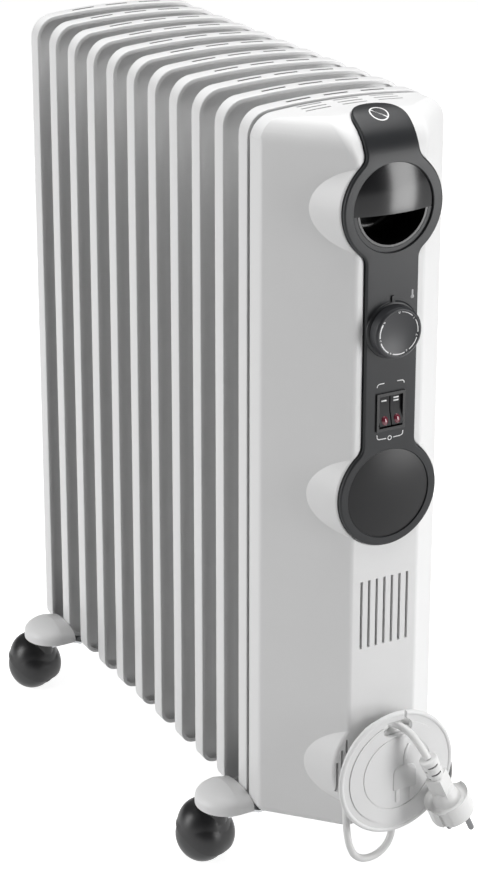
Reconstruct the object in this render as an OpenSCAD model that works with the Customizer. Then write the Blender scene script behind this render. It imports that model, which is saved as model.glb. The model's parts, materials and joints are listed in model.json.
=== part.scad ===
/* [Fins] */
// Number of fins
fin_count = 11; // [7:1:13]
// Distance from one fin to the next
fin_pitch = 37.6; // [35:0.2:44]
// Depth of a fin, from edge to edge
fin_depth = 160; // [140:1:190]
// Height of a fin
fin_h = 582; // [380:1:700]
// Height of the fins above the floor
ground_gap = 50; // [50:1:64]
// Width of the folded rim round a fin
rim_w = 13.4; // [11:0.2:15]
// Sheet thickness of the rim
rim_t = 1.2; // [1:0.1:1.6]
// Depth of the hem that is folded back along the rim
hem_d = 3; // [2.4:0.1:4]
// Thickness of the two welded sheets between the channels
web_t = 1.8; // [1.4:0.1:2.4]
// Half thickness of an embossed oil channel
channel_h = 5.6; // [4.6:0.1:6.2]
// Outer radius of the pressed collars that join the fins
collar_r = 18; // [16:0.5:20]

/* [Control housing] */
// Depth of the housing along the row of fins
housing_d = 70.6; // [66:0.2:80]
// Gap between the last fin and the housing
housing_gap = 4.7; // [4:0.1:6]
// Half width of the flat front face
face_hw = 30; // [29:0.5:34]
// Depth of the straight side band
side_band = 16; // [12:1:20]
// Wall thickness
wall = 2.6; // [2:0.1:3]
// Radius of the top front edge
brow_r = 37; // [30:1:40]
// Radius of the round pads behind the discs, at the face
pad_r = 44; // [43.6:0.1:46]

/* [Controls] */
// Half width of the fascia strip
strip_hw = 22.8; // [22.8:0.4:24]
// How far the fascia stands out of the face
fascia_out = 3; // [2:0.1:4]
// Radius of the handle and badge plates
plate_r = 42.8; // [41:0.1:43.2]
// Radius of the domed grip hood
hood_r = 34; // [32:0.5:36]
// Radius of the thermostat knob
knob_r = 20.5; // [18:0.5:22]
// How far the knob stands out of the fascia
knob_out = 10.5; // [7:0.1:12]
// Turn of the knob from its lowest to its highest mark
knob_turn = 270; // [180:5:300]
// Width of one rocker
rocker_w = 9.8; // [9:0.1:10.4]
// Height of one rocker
rocker_h = 24; // [21:0.5:25]
// Tilt of a rocker between its two positions
rocker_tilt = 16; // [10:1:18]

/* [Cord wrap] */
// Radius of the front disc
disc_r = 52; // [49:0.5:54]
// Height of the disc's centre above the floor
disc_z = 109; // [109:1:114]
// Distance from the housing to the front of the disc
disc_out = 24; // [23.6:0.2:28]
// Thickness of the disc
disc_t = 4.2; // [3.4:0.1:5]
// Radius of the hub that the cord is wound on
hub_r = 24; // [20:0.5:24]
// Diameter of the mains cord
cord_d = 6; // [5:0.1:6]

/* [Feet and castors] */
// Length of a foot's wing cover along the row of fins
wing_l = 51; // [46:1:56]
// How far a wing reaches out from the fins
wing_out = 38; // [36:1:44]
// Thickness of the foot brackets
bracket_t = 2; // [1.5:0.1:2.4]
// Radius of a castor wheel
wheel_r = 22; // [20:0.2:22]
// Distance from the swivel stem to the wheel axle
trail = 12; // [10:0.5:14]
// Radius of the swivel stem
stem_r = 5; // [4:0.1:5.5]
// Radius of the wheel axle
axle_r = 2.5; // [2:0.1:3]

/* [Hidden] */

$fn = 64;

// Clearances
seat = 0.3;      // between two pieces that sit against each other
run = 0.05;      // radial, round a shaft or pin that turns
panel_gap = 0.4; // round a piece set into a panel
eps = 0.01;

// Places along the row of fins (X), with the middle of the object at 0
stack_l = rim_w + (fin_count - 1) * fin_pitch;
overall_l = stack_l + housing_gap + housing_d + disc_out;
x_back = -overall_l / 2;
x_house = x_back + stack_l + housing_gap;
x_face = x_house + housing_d;
x_disc = x_face + disc_out;
function fin_x(i) = x_back + rim_w / 2 + i * fin_pitch;
last = fin_count - 1;

// Heights
hw = fin_depth / 2;
z_fin0 = ground_gap;
z_top = ground_gap + fin_h;
z_low = z_fin0 + 48;   // lower header
z_high = z_top - 48;   // upper header
arch_r = 600;          // shallow arch along the top edges
corner_top = 20;
corner_low = 12;
z_handle = z_top - 67.5;
z_knob = z_handle - 94.4;
z_switch = z_knob - 64.8;
z_badge = z_handle - 226.5;

// Oil channels and headers
column_a = 22;         // half width of a column
column_y = 46;         // place of the outer columns
column_gap = 24;       // from the rim to the end of a column
cross_a = 17;
cross_h = 6.4;
bore_r = 13;

// Housing
house_z0 = z_fin0 + 4;
house_top = z_top - 1;
foot_round = 8;
cheek_r = 24;
front_round = 9;
band_round = 6;
pad_slope = 0.4;
pad_l = 34;
pad_edge = 3;
pocket = 1.4;          // depth of the recess that holds the fascia
plate_t = pocket + fascia_out;
neck_r = 11;
strip_end_x = x_face - 16;

// Switch
switch_w = 25;
switch_h = 30.4;
switch_d = 22;
switch_rim = 1.2;
switch_wall = 1.6;
x_pivot = x_face + fascia_out - 4;
rocker_step = rocker_w + 1;

// Knob
stem_knob_r = 5;
skirt_r = knob_r + 2;
skirt_h = 1.6;

// Cord wrap
drum_w = disc_out - disc_t;
cord_r = cord_d / 2;
wind_r0 = hub_r + seat;
wind_r1 = wind_r0 + 3 * cord_d; // three layers
hole_y = 1.5;
hole_z = 38.5;

// Feet
foot_rear_x = fin_x(0) + fin_pitch / 2;
foot_front_x = fin_x(last - 1) + fin_pitch / 2;
wing_shift = 14.2;
z_plate = z_fin0 - seat;       // top of the bracket below the fins
joggle = 3;
z_pad = z_plate + joggle;      // top of the bracket below the wings
wing_h = 12.5;
wing_wall = 2.2;
stem_y = hw + 22;
swivel_rest = 25;
stem_top = z_pad + 6;

// Castors
hood_out = 2;          // the hood's outside and inside, from the wheels
hood_in = 1.2;
ball_r = wheel_r + 3.4; // the wheels' domed ends
web_half = 2.2;
wheel_in = web_half + 0.4;
wheel_out = 21;        // half the width over both wheels
collar_h = z_pad - bracket_t - seat;

// Points on an arc
function arc_pts(c, r, a0, a1, n) =
    [for (i = [0:n]) let (a = a0 + (a1 - a0) * i / n) c + r * [cos(a), sin(a)]];

function unit(v) = v / norm(v);

// Corner b of a polygon, rounded with radius r
function round_corner(a, b, c, r, n) =
    let (
        u = unit(a - b),
        v = unit(c - b),
        half = acos(u * v) / 2,
        m = b + unit(u + v) * r / sin(half),
        p = b + u * r / tan(half) - m,
        q = b + v * r / tan(half) - m,
        a0 = atan2(p[1], p[0]),
        d = atan2(q[1], q[0]) - a0,
        turn = d > 180 ? d - 360 : d < -180 ? d + 360 : d
    )
    arc_pts(m, r, a0, a0 + turn, n);

function mirror_pts(p) = [for (i = [len(p) - 1:-1:0]) [-p[i][0], p[i][1]]];

// Closed skin through rings with the same number of points each
module skin(rings) {
    n = len(rings[0]);
    m = len(rings) - 1;
    walls = [for (i = [0:m - 1], k = [0:n - 1])
        let (k1 = (k + 1) % n, a = i * n, b = a + n)
        each [[a + k, b + k1, a + k1], [a + k, b + k, b + k1]]
    ];
    ends = [[for (k = [0:n - 1]) k], [for (k = [n - 1:-1:0]) m * n + k]];
    polyhedron(points = [for (ring = rings, p = ring) p], faces = concat(walls, ends));
}

// Tall outline with an arched top, in Y and Z, drawn in by g on every side
function arched_outline(w, z0, z1, g = 0) =
    let (
        hw_g = w - g,
        r_arch = arch_r - g,
        r_t = corner_top - g,
        r_b = max(corner_low - g, 1),
        dy = hw_g - r_t,
        z_arch = z1 - arch_r,
        z_c = z_arch + sqrt(pow(r_arch - r_t, 2) - dy * dy),
        lean = atan2(z_c - z_arch, dy),
        right = concat(
            arc_pts([hw_g - r_b, z0 + g + r_b], r_b, -90, 0, 5),
            arc_pts([dy, z_c], r_t, 0, lean, 6),
            arc_pts([0, z_arch], r_arch, lean, 90, 5)
        )
    )
    concat(right, [for (i = [len(right) - 2:-1:0]) [-right[i][0], right[i][1]]]);

// 2D shape in Y and Z, extruded along X
module along_x(x0, l) translate([x0, 0, 0]) rotate([90, 0, 90]) linear_extrude(l) children();

// Round bar along X
module bar_x(x0, l, r, y = 0, z = 0) translate([x0, y, z]) rotate([0, 90, 0]) cylinder(h = l, r = r);

// ---------------------------------------------------------------- fins

module fin_outline(g) polygon(arched_outline(hw, z_fin0, z_top, g));

// Rim: a band all round, hemmed inwards along both edges
module fin_rim() {
    difference() {
        along_x(-rim_w / 2, rim_w) fin_outline(0);
        along_x(-rim_w / 2 - 1, rim_w + 2) fin_outline(hem_d);
        along_x(-rim_w / 2 + rim_t, rim_w - 2 * rim_t) fin_outline(rim_t);
    }
}

// Upright oil channel with a lens-shaped section and sloped ends
module column(y) {
    bulge_r = (column_a * column_a + channel_h * channel_h) / (2 * channel_h);
    z0 = z_fin0 + column_gap;
    z1 = z_top - column_gap;
    ramp = 26;
    translate([0, y, 0]) intersection() {
        translate([bulge_r - channel_h, 0, z0]) cylinder(h = z1 - z0, r = bulge_r, $fn = 180);
        translate([channel_h - bulge_r, 0, z0]) cylinder(h = z1 - z0, r = bulge_r, $fn = 180);
        translate([0, column_a + 1, 0]) rotate([90, 0, 0]) linear_extrude(2 * column_a + 2)
            polygon([
                [0, z0], [channel_h + 1, z0 + ramp], [channel_h + 1, z1 - ramp],
                [0, z1], [-channel_h - 1, z1 - ramp], [-channel_h - 1, z0 + ramp]
            ]);
    }
}

// Level oil channel through a header
module cross_channel(z) {
    bulge_r = (cross_a * cross_a + cross_h * cross_h) / (2 * cross_h);
    l = 2 * column_y;
    translate([0, l / 2, z]) rotate([90, 0, 0]) intersection() {
        translate([bulge_r - cross_h, 0, 0]) cylinder(h = l, r = bulge_r, $fn = 180);
        translate([cross_h - bulge_r, 0, 0]) cylinder(h = l, r = bulge_r, $fn = 180);
    }
}

// Round neck of a header, where the next fin is welded on; a blank end stays inside the rim
neck_half = 8.4;
module header_neck(z, back) bar_x(-back, back + neck_half, collar_r + 3, 0, z);

module top_slits() {
    slit_l = 21;
    slit_w = 1.7;
    for (y = [-32.5, 0, 32.5])
        translate([-slit_w / 2, y - slit_l / 2, z_top - 8]) cube([slit_w, slit_l, 10]);
}

module fin(i) {
    color("white") translate([fin_x(i), 0, 0]) difference() {
        union() {
            fin_rim();
            along_x(-web_t / 2, web_t) fin_outline(rim_t / 2);
            for (y = [-column_y, 0, column_y]) column(y);
            for (z = [z_low, z_high]) {
                cross_channel(z);
                header_neck(z, i == 0 ? rim_w / 2 - 0.3 : neck_half);
            }
        }
        top_slits();
        for (z = [z_low, z_high]) bar_x(i == 0 ? 0 : -rim_w, 2 * rim_w, bore_r, 0, z);
    }
}

// Collars between the fins, one ring in each gap at both headers
module header_collars() {
    l = fin_pitch - 2 * neck_half - 2 * seat;
    color("whitesmoke")
        for (i = [0:last - 1], z = [z_low, z_high])
            translate([fin_x(i) + neck_half + seat, 0, 0]) difference() {
                bar_x(0, l, collar_r, 0, z);
                bar_x(-1, l + 2, bore_r, 0, z);
            }
}

// Plug that closes the upper header after the oil is filled in
module filler_plug() {
    x0 = fin_x(last) + neck_half;
    color("silver") {
        bar_x(x0 - 10, 10 + seat, bore_r - run, 0, z_high);
        translate([x0 + seat, 0, z_high]) rotate([0, 90, 0]) cylinder(h = 5, r = 12, $fn = 6);
    }
}

// ---------------------------------------------------------------- heating element

element_r = 4;
element_gap = 8;       // half distance between its two legs
flange_r = 22;
flange_t = 6;
x_flange = fin_x(last) + neck_half + seat;

// Long U-shaped tube in the lower header
module heating_element() {
    x0 = fin_x(0) + neck_half + 14;
    x1 = x_flange + flange_t + 12;
    color("dimgray") {
        for (s = [-1, 1]) bar_x(x0, x1 - x0, element_r, s * element_gap, z_low);
        translate([x0, 0, z_low]) rotate([0, 0, 90]) rotate_extrude(angle = 180)
            translate([element_gap, 0]) circle(r = element_r);
    }
}

// Screwed flange that closes the lower header and holds the element
module element_flange() {
    color("silver") difference() {
        union() {
            bar_x(x_flange, flange_t, flange_r, 0, z_low);
            bar_x(x_flange - 12, 12, bore_r - run, 0, z_low);
        }
        for (s = [-1, 1]) bar_x(x_flange - 13, flange_t + 14, element_r + run, s * element_gap, z_low);
    }
}

// ---------------------------------------------------------------- control housing

// Slanted side of the housing: its outward normal in X and Y, and its distance
band_end = [x_house + side_band, hw];
face_end = [x_face, face_hw];
cheek_n = unit([band_end[1] - face_end[1], face_end[0] - band_end[0]]);
cheek_c = cheek_n * face_end;

// Draw-in of a rounded edge of radius r at height z, at the top and at the bottom
function top_in(r, z) = z > house_top - r ? r - sqrt(max(r * r - pow(z - house_top + r, 2), 0)) : 0;
function low_in(r, z) = z < house_z0 + r ? r - sqrt(max(r * r - pow(house_z0 + r - z, 2), 0)) : 0;

// Plan of the housing at height z, drawn in by g
function house_plan(z, g) =
    let (
        foot = low_in(foot_round, z),
        y_side = hw - g - foot,
        x_front = x_face - g - foot - top_in(brow_r, z),
        c = cheek_c - g - foot - top_in(cheek_r, z),
        p0 = [x_house, (c - cheek_n[0] * x_house) / cheek_n[1]],
        p1 = [(c - cheek_n[1] * y_side) / cheek_n[0], y_side],
        p2 = [x_front, (c - cheek_n[0] * x_front) / cheek_n[1]],
        banded = p1[0] > x_house + 3,
        upper = concat(
            [banded ? [x_house, y_side] : p0],
            banded
                ? round_corner([x_house, y_side], p1, p2, band_round, 3)
                : [for (k = [1:4]) p0 + k * unit(p2 - p0)],
            round_corner(p0, p2, [x_front, 0], front_round + 0.6 * top_in(brow_r, z), 5)
        )
    )
    concat([for (p = upper) [p[0], -p[1]]], [for (i = [len(upper) - 1:-1:0]) upper[i]]);

// Rounded block of the housing, drawn in by g
module house_block(g) {
    low = [for (a = [0:22.5:90]) house_z0 + foot_round * (1 - cos(a))];
    high = [for (a = [0:11.25:90]) house_top - brow_r * (1 - sin(a))];
    squeeze = 1 - 2 * g / (house_top - house_z0);
    intersection() {
        skin([for (z = concat(low, high))
            [for (p = house_plan(z, g)) [p[0], p[1], house_z0 + g + squeeze * (z - house_z0)]]]);
        along_x(x_house - 1, housing_d + 2)
            polygon(arched_outline(hw + 0.4, house_z0 - 2, house_top, g));
    }
}

// Round pads with a soft front edge behind the three discs
module pads(g) {
    base = [pad_r + pad_slope * pad_l - g, 0];
    front = [pad_r - 0.6 * g, pad_l - g];
    middle = [0, pad_l - g];
    edge = max(pad_edge - g, 0.6);
    for (z = [z_handle, z_badge, disc_z])
        translate([x_face - pad_l, 0, z]) rotate([0, 90, 0]) rotate_extrude()
            polygon(concat([[0, 0], base], round_corner(base, front, middle, edge, 4), [middle]));
}

// Front outline of the fascia, in Y and Z, grown by g
module fascia_front(g) {
    z1 = house_top - brow_r;
    translate([-strip_hw - g, z_badge]) square([2 * (strip_hw + g), z1 - z_badge]);
    neck(z_handle, 1, g);
    neck(z_handle, -1, g);
    neck(z_badge, 1, g);
}

// Hollow curve from the strip into a round plate, above (s = 1) or below it
module neck(z, s, g) {
    w = strip_hw + g;
    f = neck_r - g;
    q = sqrt(pow(plate_r + g + f, 2) - pow(w + f, 2));
    lean = atan2(q, w + f);
    half = concat([[0, q]], arc_pts([w + f, q], f, 180, 180 + lean, 6), [[w, 0], [0, 0]]);
    for (m = [1, -1]) translate([0, z]) scale([m, s]) polygon(half);
}

// Side profile of the strip over the top front edge, in X and Z, from depth a to height b
function brow_band(a, b) =
    let (c = [x_face - brow_r, house_top - brow_r], x_end = strip_end_x - strip_hw - 2)
    concat(
        arc_pts(c, brow_r + b, 0, 90, 16),
        [[x_end, c[1] + brow_r + b], [x_end, c[1] + brow_r - a]],
        arc_pts(c, brow_r - a, 90, 0, 16)
    );

// The fascia's body, grown by g, from depth a to height b
module fascia_form(g, a, b) {
    along_x(x_face - a, a + b) fascia_front(g);
    for (z = [z_handle, z_badge]) bar_x(x_face - a, a + b, plate_r + g, 0, z);
    intersection() {
        translate([0, strip_hw + g, 0]) rotate([90, 0, 0]) linear_extrude(2 * (strip_hw + g))
            polygon(brow_band(a, b));
        union() {
            translate([strip_end_x, 0, house_top - brow_r - 1])
                cylinder(h = brow_r + 10, r = strip_hw + g);
            translate([strip_end_x, -strip_hw - g - 1, house_top - brow_r - 1])
                cube([60, 2 * (strip_hw + g) + 2, brow_r + 10]);
        }
    }
}

// Slots in the top, in the front and beside the cord wrap
module housing_slots() {
    for (x = [1.8, 8.6, 15.4], y = [-31.5, 0, 31.5])
        translate([x_house + x, y - 10.7, house_top - 12]) cube([2, 21.4, 14]);
    for (k = [-3:3])
        translate([x_face - 8, k * 6.86 - 1.1, 210]) cube([10, 2.2, 57]);
    for (k = [0:2])
        translate([x_face - 9 + 3 * k, -33 + 3.4 * k, disc_z - 14 + 9 * k])
            rotate([0, 0, 40]) translate([-7, -1, 0]) cube([20, 2, 22 - 5 * k]);
}

// Places of the screws that hold the housing to the back plate
screw_at = [for (y = [-60, 60], z = [150, z_high - 60]) [y, z]];
screw_r = 1.8;
x_plate = x_house + 1.2;
plate_steel = 1.2;

module control_housing() {
    color("whitesmoke") {
        difference() {
            union() {
                house_block(0);
                pads(0);
            }
            difference() {
                union() {
                    house_block(wall);
                    pads(wall);
                    along_x(x_house - 1, 1 + wall)
                        polygon(arched_outline(hw - wall, house_z0 + wall, house_top - wall));
                }
                housing_bosses();
            }
            fascia_form(panel_gap, pocket, 10);
            housing_holes();
            housing_slots();
        }
    }
}

// Bosses inside the slanted sides, for the screws
module housing_bosses() {
    for (p = screw_at)
        difference() {
            bar_x(x_plate + plate_steel + seat, 34, 4.5, p[0], p[1]);
            bar_x(x_plate, 20, screw_r + run, p[0], p[1]);
        }
}

// Holes in the front for the cup, the knob's stem, the switch and the gland
module housing_holes() {
    bar_x(x_face - 12, 20, cup_r + panel_gap, 0, z_handle);
    bar_x(x_face - 12, 20, stem_knob_r + 1, 0, z_knob);
    translate([x_face - 12, -switch_w / 2 + 1, z_switch - switch_h / 2 + 1])
        cube([20, switch_w - 2, switch_h - 2]);
    bar_x(x_face - 14, 20, gland_r + run, gland_y, gland_z);
}

// Sheet steel plate that closes the housing behind, with four pressed feet
module backplate() {
    x_stand = fin_x(last) + channel_h + seat;
    color("silver") difference() {
        union() {
            along_x(x_plate, plate_steel)
                polygon(arched_outline(hw - wall - 0.6, house_z0 + wall + 0.6, house_top - wall - 0.6));
            for (y = [-column_y, column_y], z = [z_low + 90, z_high - 90])
                bar_x(x_stand, x_plate - x_stand + eps, 5, y, z);
        }
        bar_x(x_plate - 1, 4, flange_r + 4, 0, z_low);
        bar_x(x_plate - 1, 4, 18, 0, z_high);
        for (p = screw_at) bar_x(x_plate - 1, 4, screw_r + 0.2, p[0], p[1]);
    }
}

module housing_screws() {
    color("silver") for (p = screw_at) difference() {
        union() {
            bar_x(x_plate - seat, 14, screw_r, p[0], p[1]);
            bar_x(x_plate - seat - 1.8, 1.8, 3.4, p[0], p[1]);
        }
        translate([x_plate - seat - 2, p[0] - 2.4, p[1] - 0.4]) cube([1.2, 4.8, 0.8]);
    }
}

// ---------------------------------------------------------------- fascia and controls

cup_r = 31;
cup_d = 38;
cup_wall = 1.8;
grip_z = z_handle - 3.5; // lower edge of the grip hood

module fascia() {
    color("dimgray") difference() {
        union() {
            fascia_form(0, pocket - seat, fascia_out);
            translate([x_face + fascia_out - eps, 0, z_knob]) rotate([0, 90, 0])
                cylinder(h = skirt_h + eps, r1 = skirt_r, r2 = skirt_r - 1);
            translate([x_face + fascia_out - eps, -1.2, z_knob + skirt_r - 1.5]) cube([skirt_h, 2.4, 6]);
        }
        bar_x(x_face - 5, 20, cup_r, 0, z_handle);
        bar_x(x_face + fascia_out - 1.6, 10, hood_r + panel_gap, 0, z_handle);
        bar_x(x_face - 5, 20, stem_knob_r + run, 0, z_knob);
        translate([x_face - 5, -switch_w / 2 + 1, z_switch - switch_h / 2 + 1])
            cube([20, switch_w - 2, switch_h - 2]);
        bar_x(x_face + fascia_out - 1.2, 10, badge_r + panel_gap, 0, z_badge);
    }
}

// Section of a dome: radius r at its base, height h, drawn from its axis
module dome_section(r, h) {
    dome_r = (r * r + h * h) / (2 * h);
    intersection() {
        translate([0, h - dome_r]) circle(r = dome_r, $fn = 720);
        square([r, h]);
    }
}

// Domed hood over the upper part of the hand recess
module handle_hood() {
    rise = 5.2;
    t = 2.4;
    x0 = x_face + fascia_out - 1.6 + seat;
    color("black") difference() {
        translate([x0, 0, z_handle]) rotate([0, 90, 0]) rotate_extrude() difference() {
            dome_section(hood_r, rise);
            translate([0, -t]) intersection() {
                dome_section(hood_r, rise);
                square([cup_r - cup_wall, rise]);
            }
        }
        translate([x0 - 2, -hood_r - 1, grip_z - 2 * hood_r]) cube([20, 2 * hood_r + 2, 2 * hood_r]);
    }
}

// Recess for the fingers, a round bowl behind the fascia
module handle_cup() {
    r0 = cup_r - panel_gap;
    round = 9;
    x0 = x_face + fascia_out - 1.6;
    color("black") translate([x0, 0, z_handle]) rotate([0, -90, 0]) difference() {
        union() {
            cylinder(h = cup_d - round, r = r0);
            cylinder(h = cup_d, r = r0 - round);
            translate([0, 0, cup_d - round]) rotate_extrude()
                translate([r0 - round, 0]) circle(r = round);
        }
        translate([0, 0, -eps]) {
            cylinder(h = cup_d - round + eps, r = r0 - cup_wall);
            cylinder(h = cup_d - cup_wall + eps, r = r0 - round);
            translate([0, 0, cup_d - round]) rotate_extrude()
                translate([r0 - round, 0]) circle(r = round - cup_wall);
        }
    }
}

badge_r = 35.5;

module badge_disc() {
    x0 = x_face + fascia_out - 1.2 + seat;
    color("black") translate([x0, 0, z_badge]) rotate([0, 90, 0]) rotate_extrude()
        dome_section(badge_r, 3);
}

// Thermostat knob with a bevelled edge, a shallow dish and a stem
module knob() {
    x0 = x_face + fascia_out + skirt_h + seat;
    l = knob_out - skirt_h - seat;
    color("dimgray") {
        translate([x0, 0, z_knob]) rotate([0, 90, 0]) difference() {
            union() {
                cylinder(h = l - 1.5, r1 = knob_r, r2 = knob_r - 0.6);
                translate([0, 0, l - 1.5]) cylinder(h = 1.5, r1 = knob_r - 0.6, r2 = knob_r - 1.8);
            }
            translate([0, 0, l - 0.5]) cylinder(h = 1, r = knob_r - 3.4);
        }
        bar_x(x_face - wall - 12, 12 + wall + fascia_out + skirt_h + seat + eps, stem_knob_r, 0, z_knob);
    }
}

// Thermostat behind the face: a case, its bush and two terminals
module thermostat() {
    x1 = x_face - wall - seat - 3;
    color("ivory") difference() {
        union() {
            translate([x1 - 18, -18, z_knob - 17]) cube([18, 36, 34]);
            bar_x(x1 - eps, 3, 9, 0, z_knob);
            for (y = [-10, 10]) translate([x1 - 25, y - 3, z_knob - 13]) cube([7 + eps, 6, 0.8]);
        }
        bar_x(x1 - 10, 20, stem_knob_r + run, 0, z_knob);
    }
}

// Thermal cut-out clipped on the back plate
module thermal_cutout() {
    x0 = x_plate + plate_steel + seat;
    color("peru") {
        bar_x(x0, 6, 9, -28, z_low + 60);
        bar_x(x0 + 6 - eps, 4, 6.5, -28, z_low + 60);
        for (s = [-1, 1]) translate([x0 + 8, -28 + s * 4 - 2, z_low + 60 - 12]) cube([0.8, 4, 24]);
    }
}

// Terminal block on the back plate
module terminal_block() {
    x0 = x_plate + plate_steel + seat;
    color("ivory") difference() {
        translate([x0, 6, z_low + 52]) cube([14, 34, 16]);
        for (k = [0:2]) {
            bar_x(x0 + 6, 10, 2.4, 12 + 11 * k, z_low + 60);
            translate([x0 + 7, 12 + 11 * k, z_low + 51]) cylinder(h = 18, r = 1.8);
        }
    }
}

// Case of the double switch, open in front
module switch_case() {
    x0 = x_face + fascia_out;
    clear = 1.3;
    in_w = switch_w - 2 * switch_wall - 2;
    in_h = switch_h - 2 * switch_wall - 2;
    color("black") difference() {
        union() {
            translate([x0, -switch_w / 2, z_switch - switch_h / 2])
                translate([seat, 0, 0]) cube([switch_rim, switch_w, switch_h]);
            translate([x0 + seat - switch_d, -switch_w / 2 + clear, z_switch - switch_h / 2 + clear])
                cube([switch_d + eps, switch_w - 2 * clear, switch_h - 2 * clear]);
        }
        translate([x0 - 15, -in_w / 2 - 0.4, z_switch - in_h / 2 - 0.2])
            cube([30, in_w + 0.8, in_h + 0.4]);
    }
    color("silver") translate([x_pivot, in_w / 2 + 0.4, z_switch]) rotate([90, 0, 0])
        cylinder(h = in_w + 0.8, r = 1.2);
}

// Rocker: two sloped faces about a round back, turned into its switched-on rest
module rocker(y) {
    half = rocker_h / 2;
    lean = rocker_tilt / 2;
    color("dimgray") translate([x_pivot, y, z_switch]) rotate([0, -lean, 0]) difference() {
        translate([0, rocker_w / 2, 0]) rotate([90, 0, 0]) linear_extrude(rocker_w)
            polygon(concat(
                [[3.4, 0], [4.8, -half + 0.6], [4, -half]],
                [[-2, -half + 3]],
                arc_pts([0, 0], 5, 235, 125, 8),
                [[-2, half - 3], [4, half], [4.8, half - 0.6]]
            ));
        translate([0, rocker_w, 0]) rotate([90, 0, 0]) cylinder(h = 2 * rocker_w, r = 1.2 + run);
    }
}

// ---------------------------------------------------------------- cord wrap

// Hub with a thin flange on the housing
module reel_hub() {
    color("whitesmoke") difference() {
        bar_x(x_face + seat, drum_w - 2 * seat, hub_r, 0, disc_z);
        bar_x(x_face + seat + 2.4, drum_w, hub_r - 3, 0, disc_z);
    }
}

// Front disc: thick rounded rim, a raised middle, a notch and the cord's hole
module reel_disc() {
    edge = disc_t / 2;
    color("whitesmoke") difference() {
        union() {
            bar_x(x_disc - disc_t, disc_t - 0.8, disc_r - edge, 0, disc_z);
            translate([x_disc - edge, 0, disc_z]) rotate([0, 90, 0]) rotate_extrude()
                translate([disc_r - edge, 0]) circle(r = edge);
            bar_x(x_disc - disc_t + eps, disc_t - 2 * eps, disc_r - 9, 0, disc_z);
            for (k = [0:2]) rotate_about_disc(120 * k + 60)
                translate([x_disc - disc_t - 8, 0, disc_z + hub_r - 6])
                    rotate([0, 90, 0]) cylinder(h = 8 + eps, r = 2.5);
        }
        translate([x_disc - 0.6, 0, disc_z]) rotate([0, 90, 0]) difference() {
            cylinder(h = 2, r = 28.2);
            translate([0, 0, -1]) cylinder(h = 4, r = 27);
        }
        translate([x_disc - disc_t - 1, hole_y - 8, disc_z + hole_z - 6.5]) cube([disc_t + 2, 13, 13]);
        for (s = [-8, 5]) bar_x(x_disc - disc_t - 1, disc_t + 2, 6.5, hole_y + s, disc_z + hole_z);
        translate([x_disc - disc_t - 1, hole_y + 4, disc_z + hole_z]) cube([disc_t + 2, 2.6, 20]);
    }
}

module rotate_about_disc(a) translate([0, 0, disc_z]) rotate([a, 0, 0]) translate([0, 0, -disc_z]) children();

// Angled strain relief: through the housing, round a corner and down
gland_r = 4.8;
gland_y = 6;
gland_z = disc_z - 48;
gland_x = 8.6;         // from the face to the relief's axis
relief_l = 11;
module cord_gland() {
    x1 = x_face + gland_x;
    color("whitesmoke") {
        bar_x(x_face - 12, 12 + gland_x, gland_r, gland_y, gland_z);
        translate([x1, gland_y, gland_z]) sphere(r = gland_r);
        bar_x(x_face + seat, 1.8, gland_r + 0.8, gland_y, gland_z);
        translate([x1, gland_y, gland_z - relief_l]) cylinder(h = relief_l, r1 = cord_r + 0.7, r2 = gland_r);
        for (k = [0:2]) translate([x1, gland_y, gland_z - relief_l + 1 + 3 * k])
            cylinder(h = 1.2, r = cord_r + 1.5);
    }
}

// Route of the cord, from the housing's face and the disc's centre: [x, y, z]
loop_route = [
    [8.6, 6, -59], [8.6, 5, -66], [8.8, 1, -73], [9, -6, -78], [9.4, -14, -79.5],
    [9.8, -22, -78], [10, -29, -73], [10.4, -33, -66], [10.6, -35.5, -58],
    [10, -36.8, -48], [8, -36.5, -36], [5.2, -34.4, -24], [3.6, -31, -12]
];
tail_route = [
    [12.6, -12, 38.5], [16, -5, 40.5], [21, 0, 40.5],
    [27, 4, 38.5], [33, 7.5, 34.5], [38, 10, 29], [41.5, 12.5, 23.5], [44, 15, 18]
];

// Tube swept along a route, with its rings turned about the vector up
module tube(route, r, up, sides = 10) {
    m = len(route) - 1;
    skin([for (i = [0:m])
        let (
            t = unit(route[min(i + 1, m)] - route[max(i - 1, 0)]),
            a = unit(cross(t, up)),
            b = cross(t, a)
        )
        [for (k = [0:sides - 1]) route[i] + r * (a * cos(360 * k / sides) + b * sin(360 * k / sides))]
    ]);
}

module cord_loop()
    color("whitesmoke") translate([x_face, 0, disc_z]) tube(loop_route, cord_r, [1, 0, 0]);

module cord_winding()
    color("whitesmoke") difference() {
        bar_x(x_face + seat, drum_w - 2 * seat, wind_r1, 0, disc_z);
        bar_x(x_face - 1, drum_w + 2, wind_r0, 0, disc_z);
    }

module cord_tail()
    color("whitesmoke") translate([x_face, 0, disc_z]) tube(tail_route, cord_r, [1, 0.4, 1]);

// Plug, hanging from the end of the tail: its own axis is Z, with the pins up
plug_lean = 25;
plug_turn = -36;
sleeve_l = 20;
sleeve_r = 7.4;
bar_w = 12.6;          // the rectangular neck above the sleeve
bar_t = 15;
shoulder_z = 34;
plug_z = 60;           // the plug's face
plug_r = 18;
plug_flat = 16.6;      // from the axis to the flats with the earth contacts
pin_r = 2.4;
pin_l = 19;
pin_gap = 19;
pin_root_r = 2.9;
pin_root_l = 14;
module plug_place() {
    tip = tail_route[len(tail_route) - 1];
    translate([x_face + tip[0], tip[1], disc_z + tip[2]])
        rotate([180 + plug_lean, 0, 0]) rotate([0, 0, plug_turn]) children();
}

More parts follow.
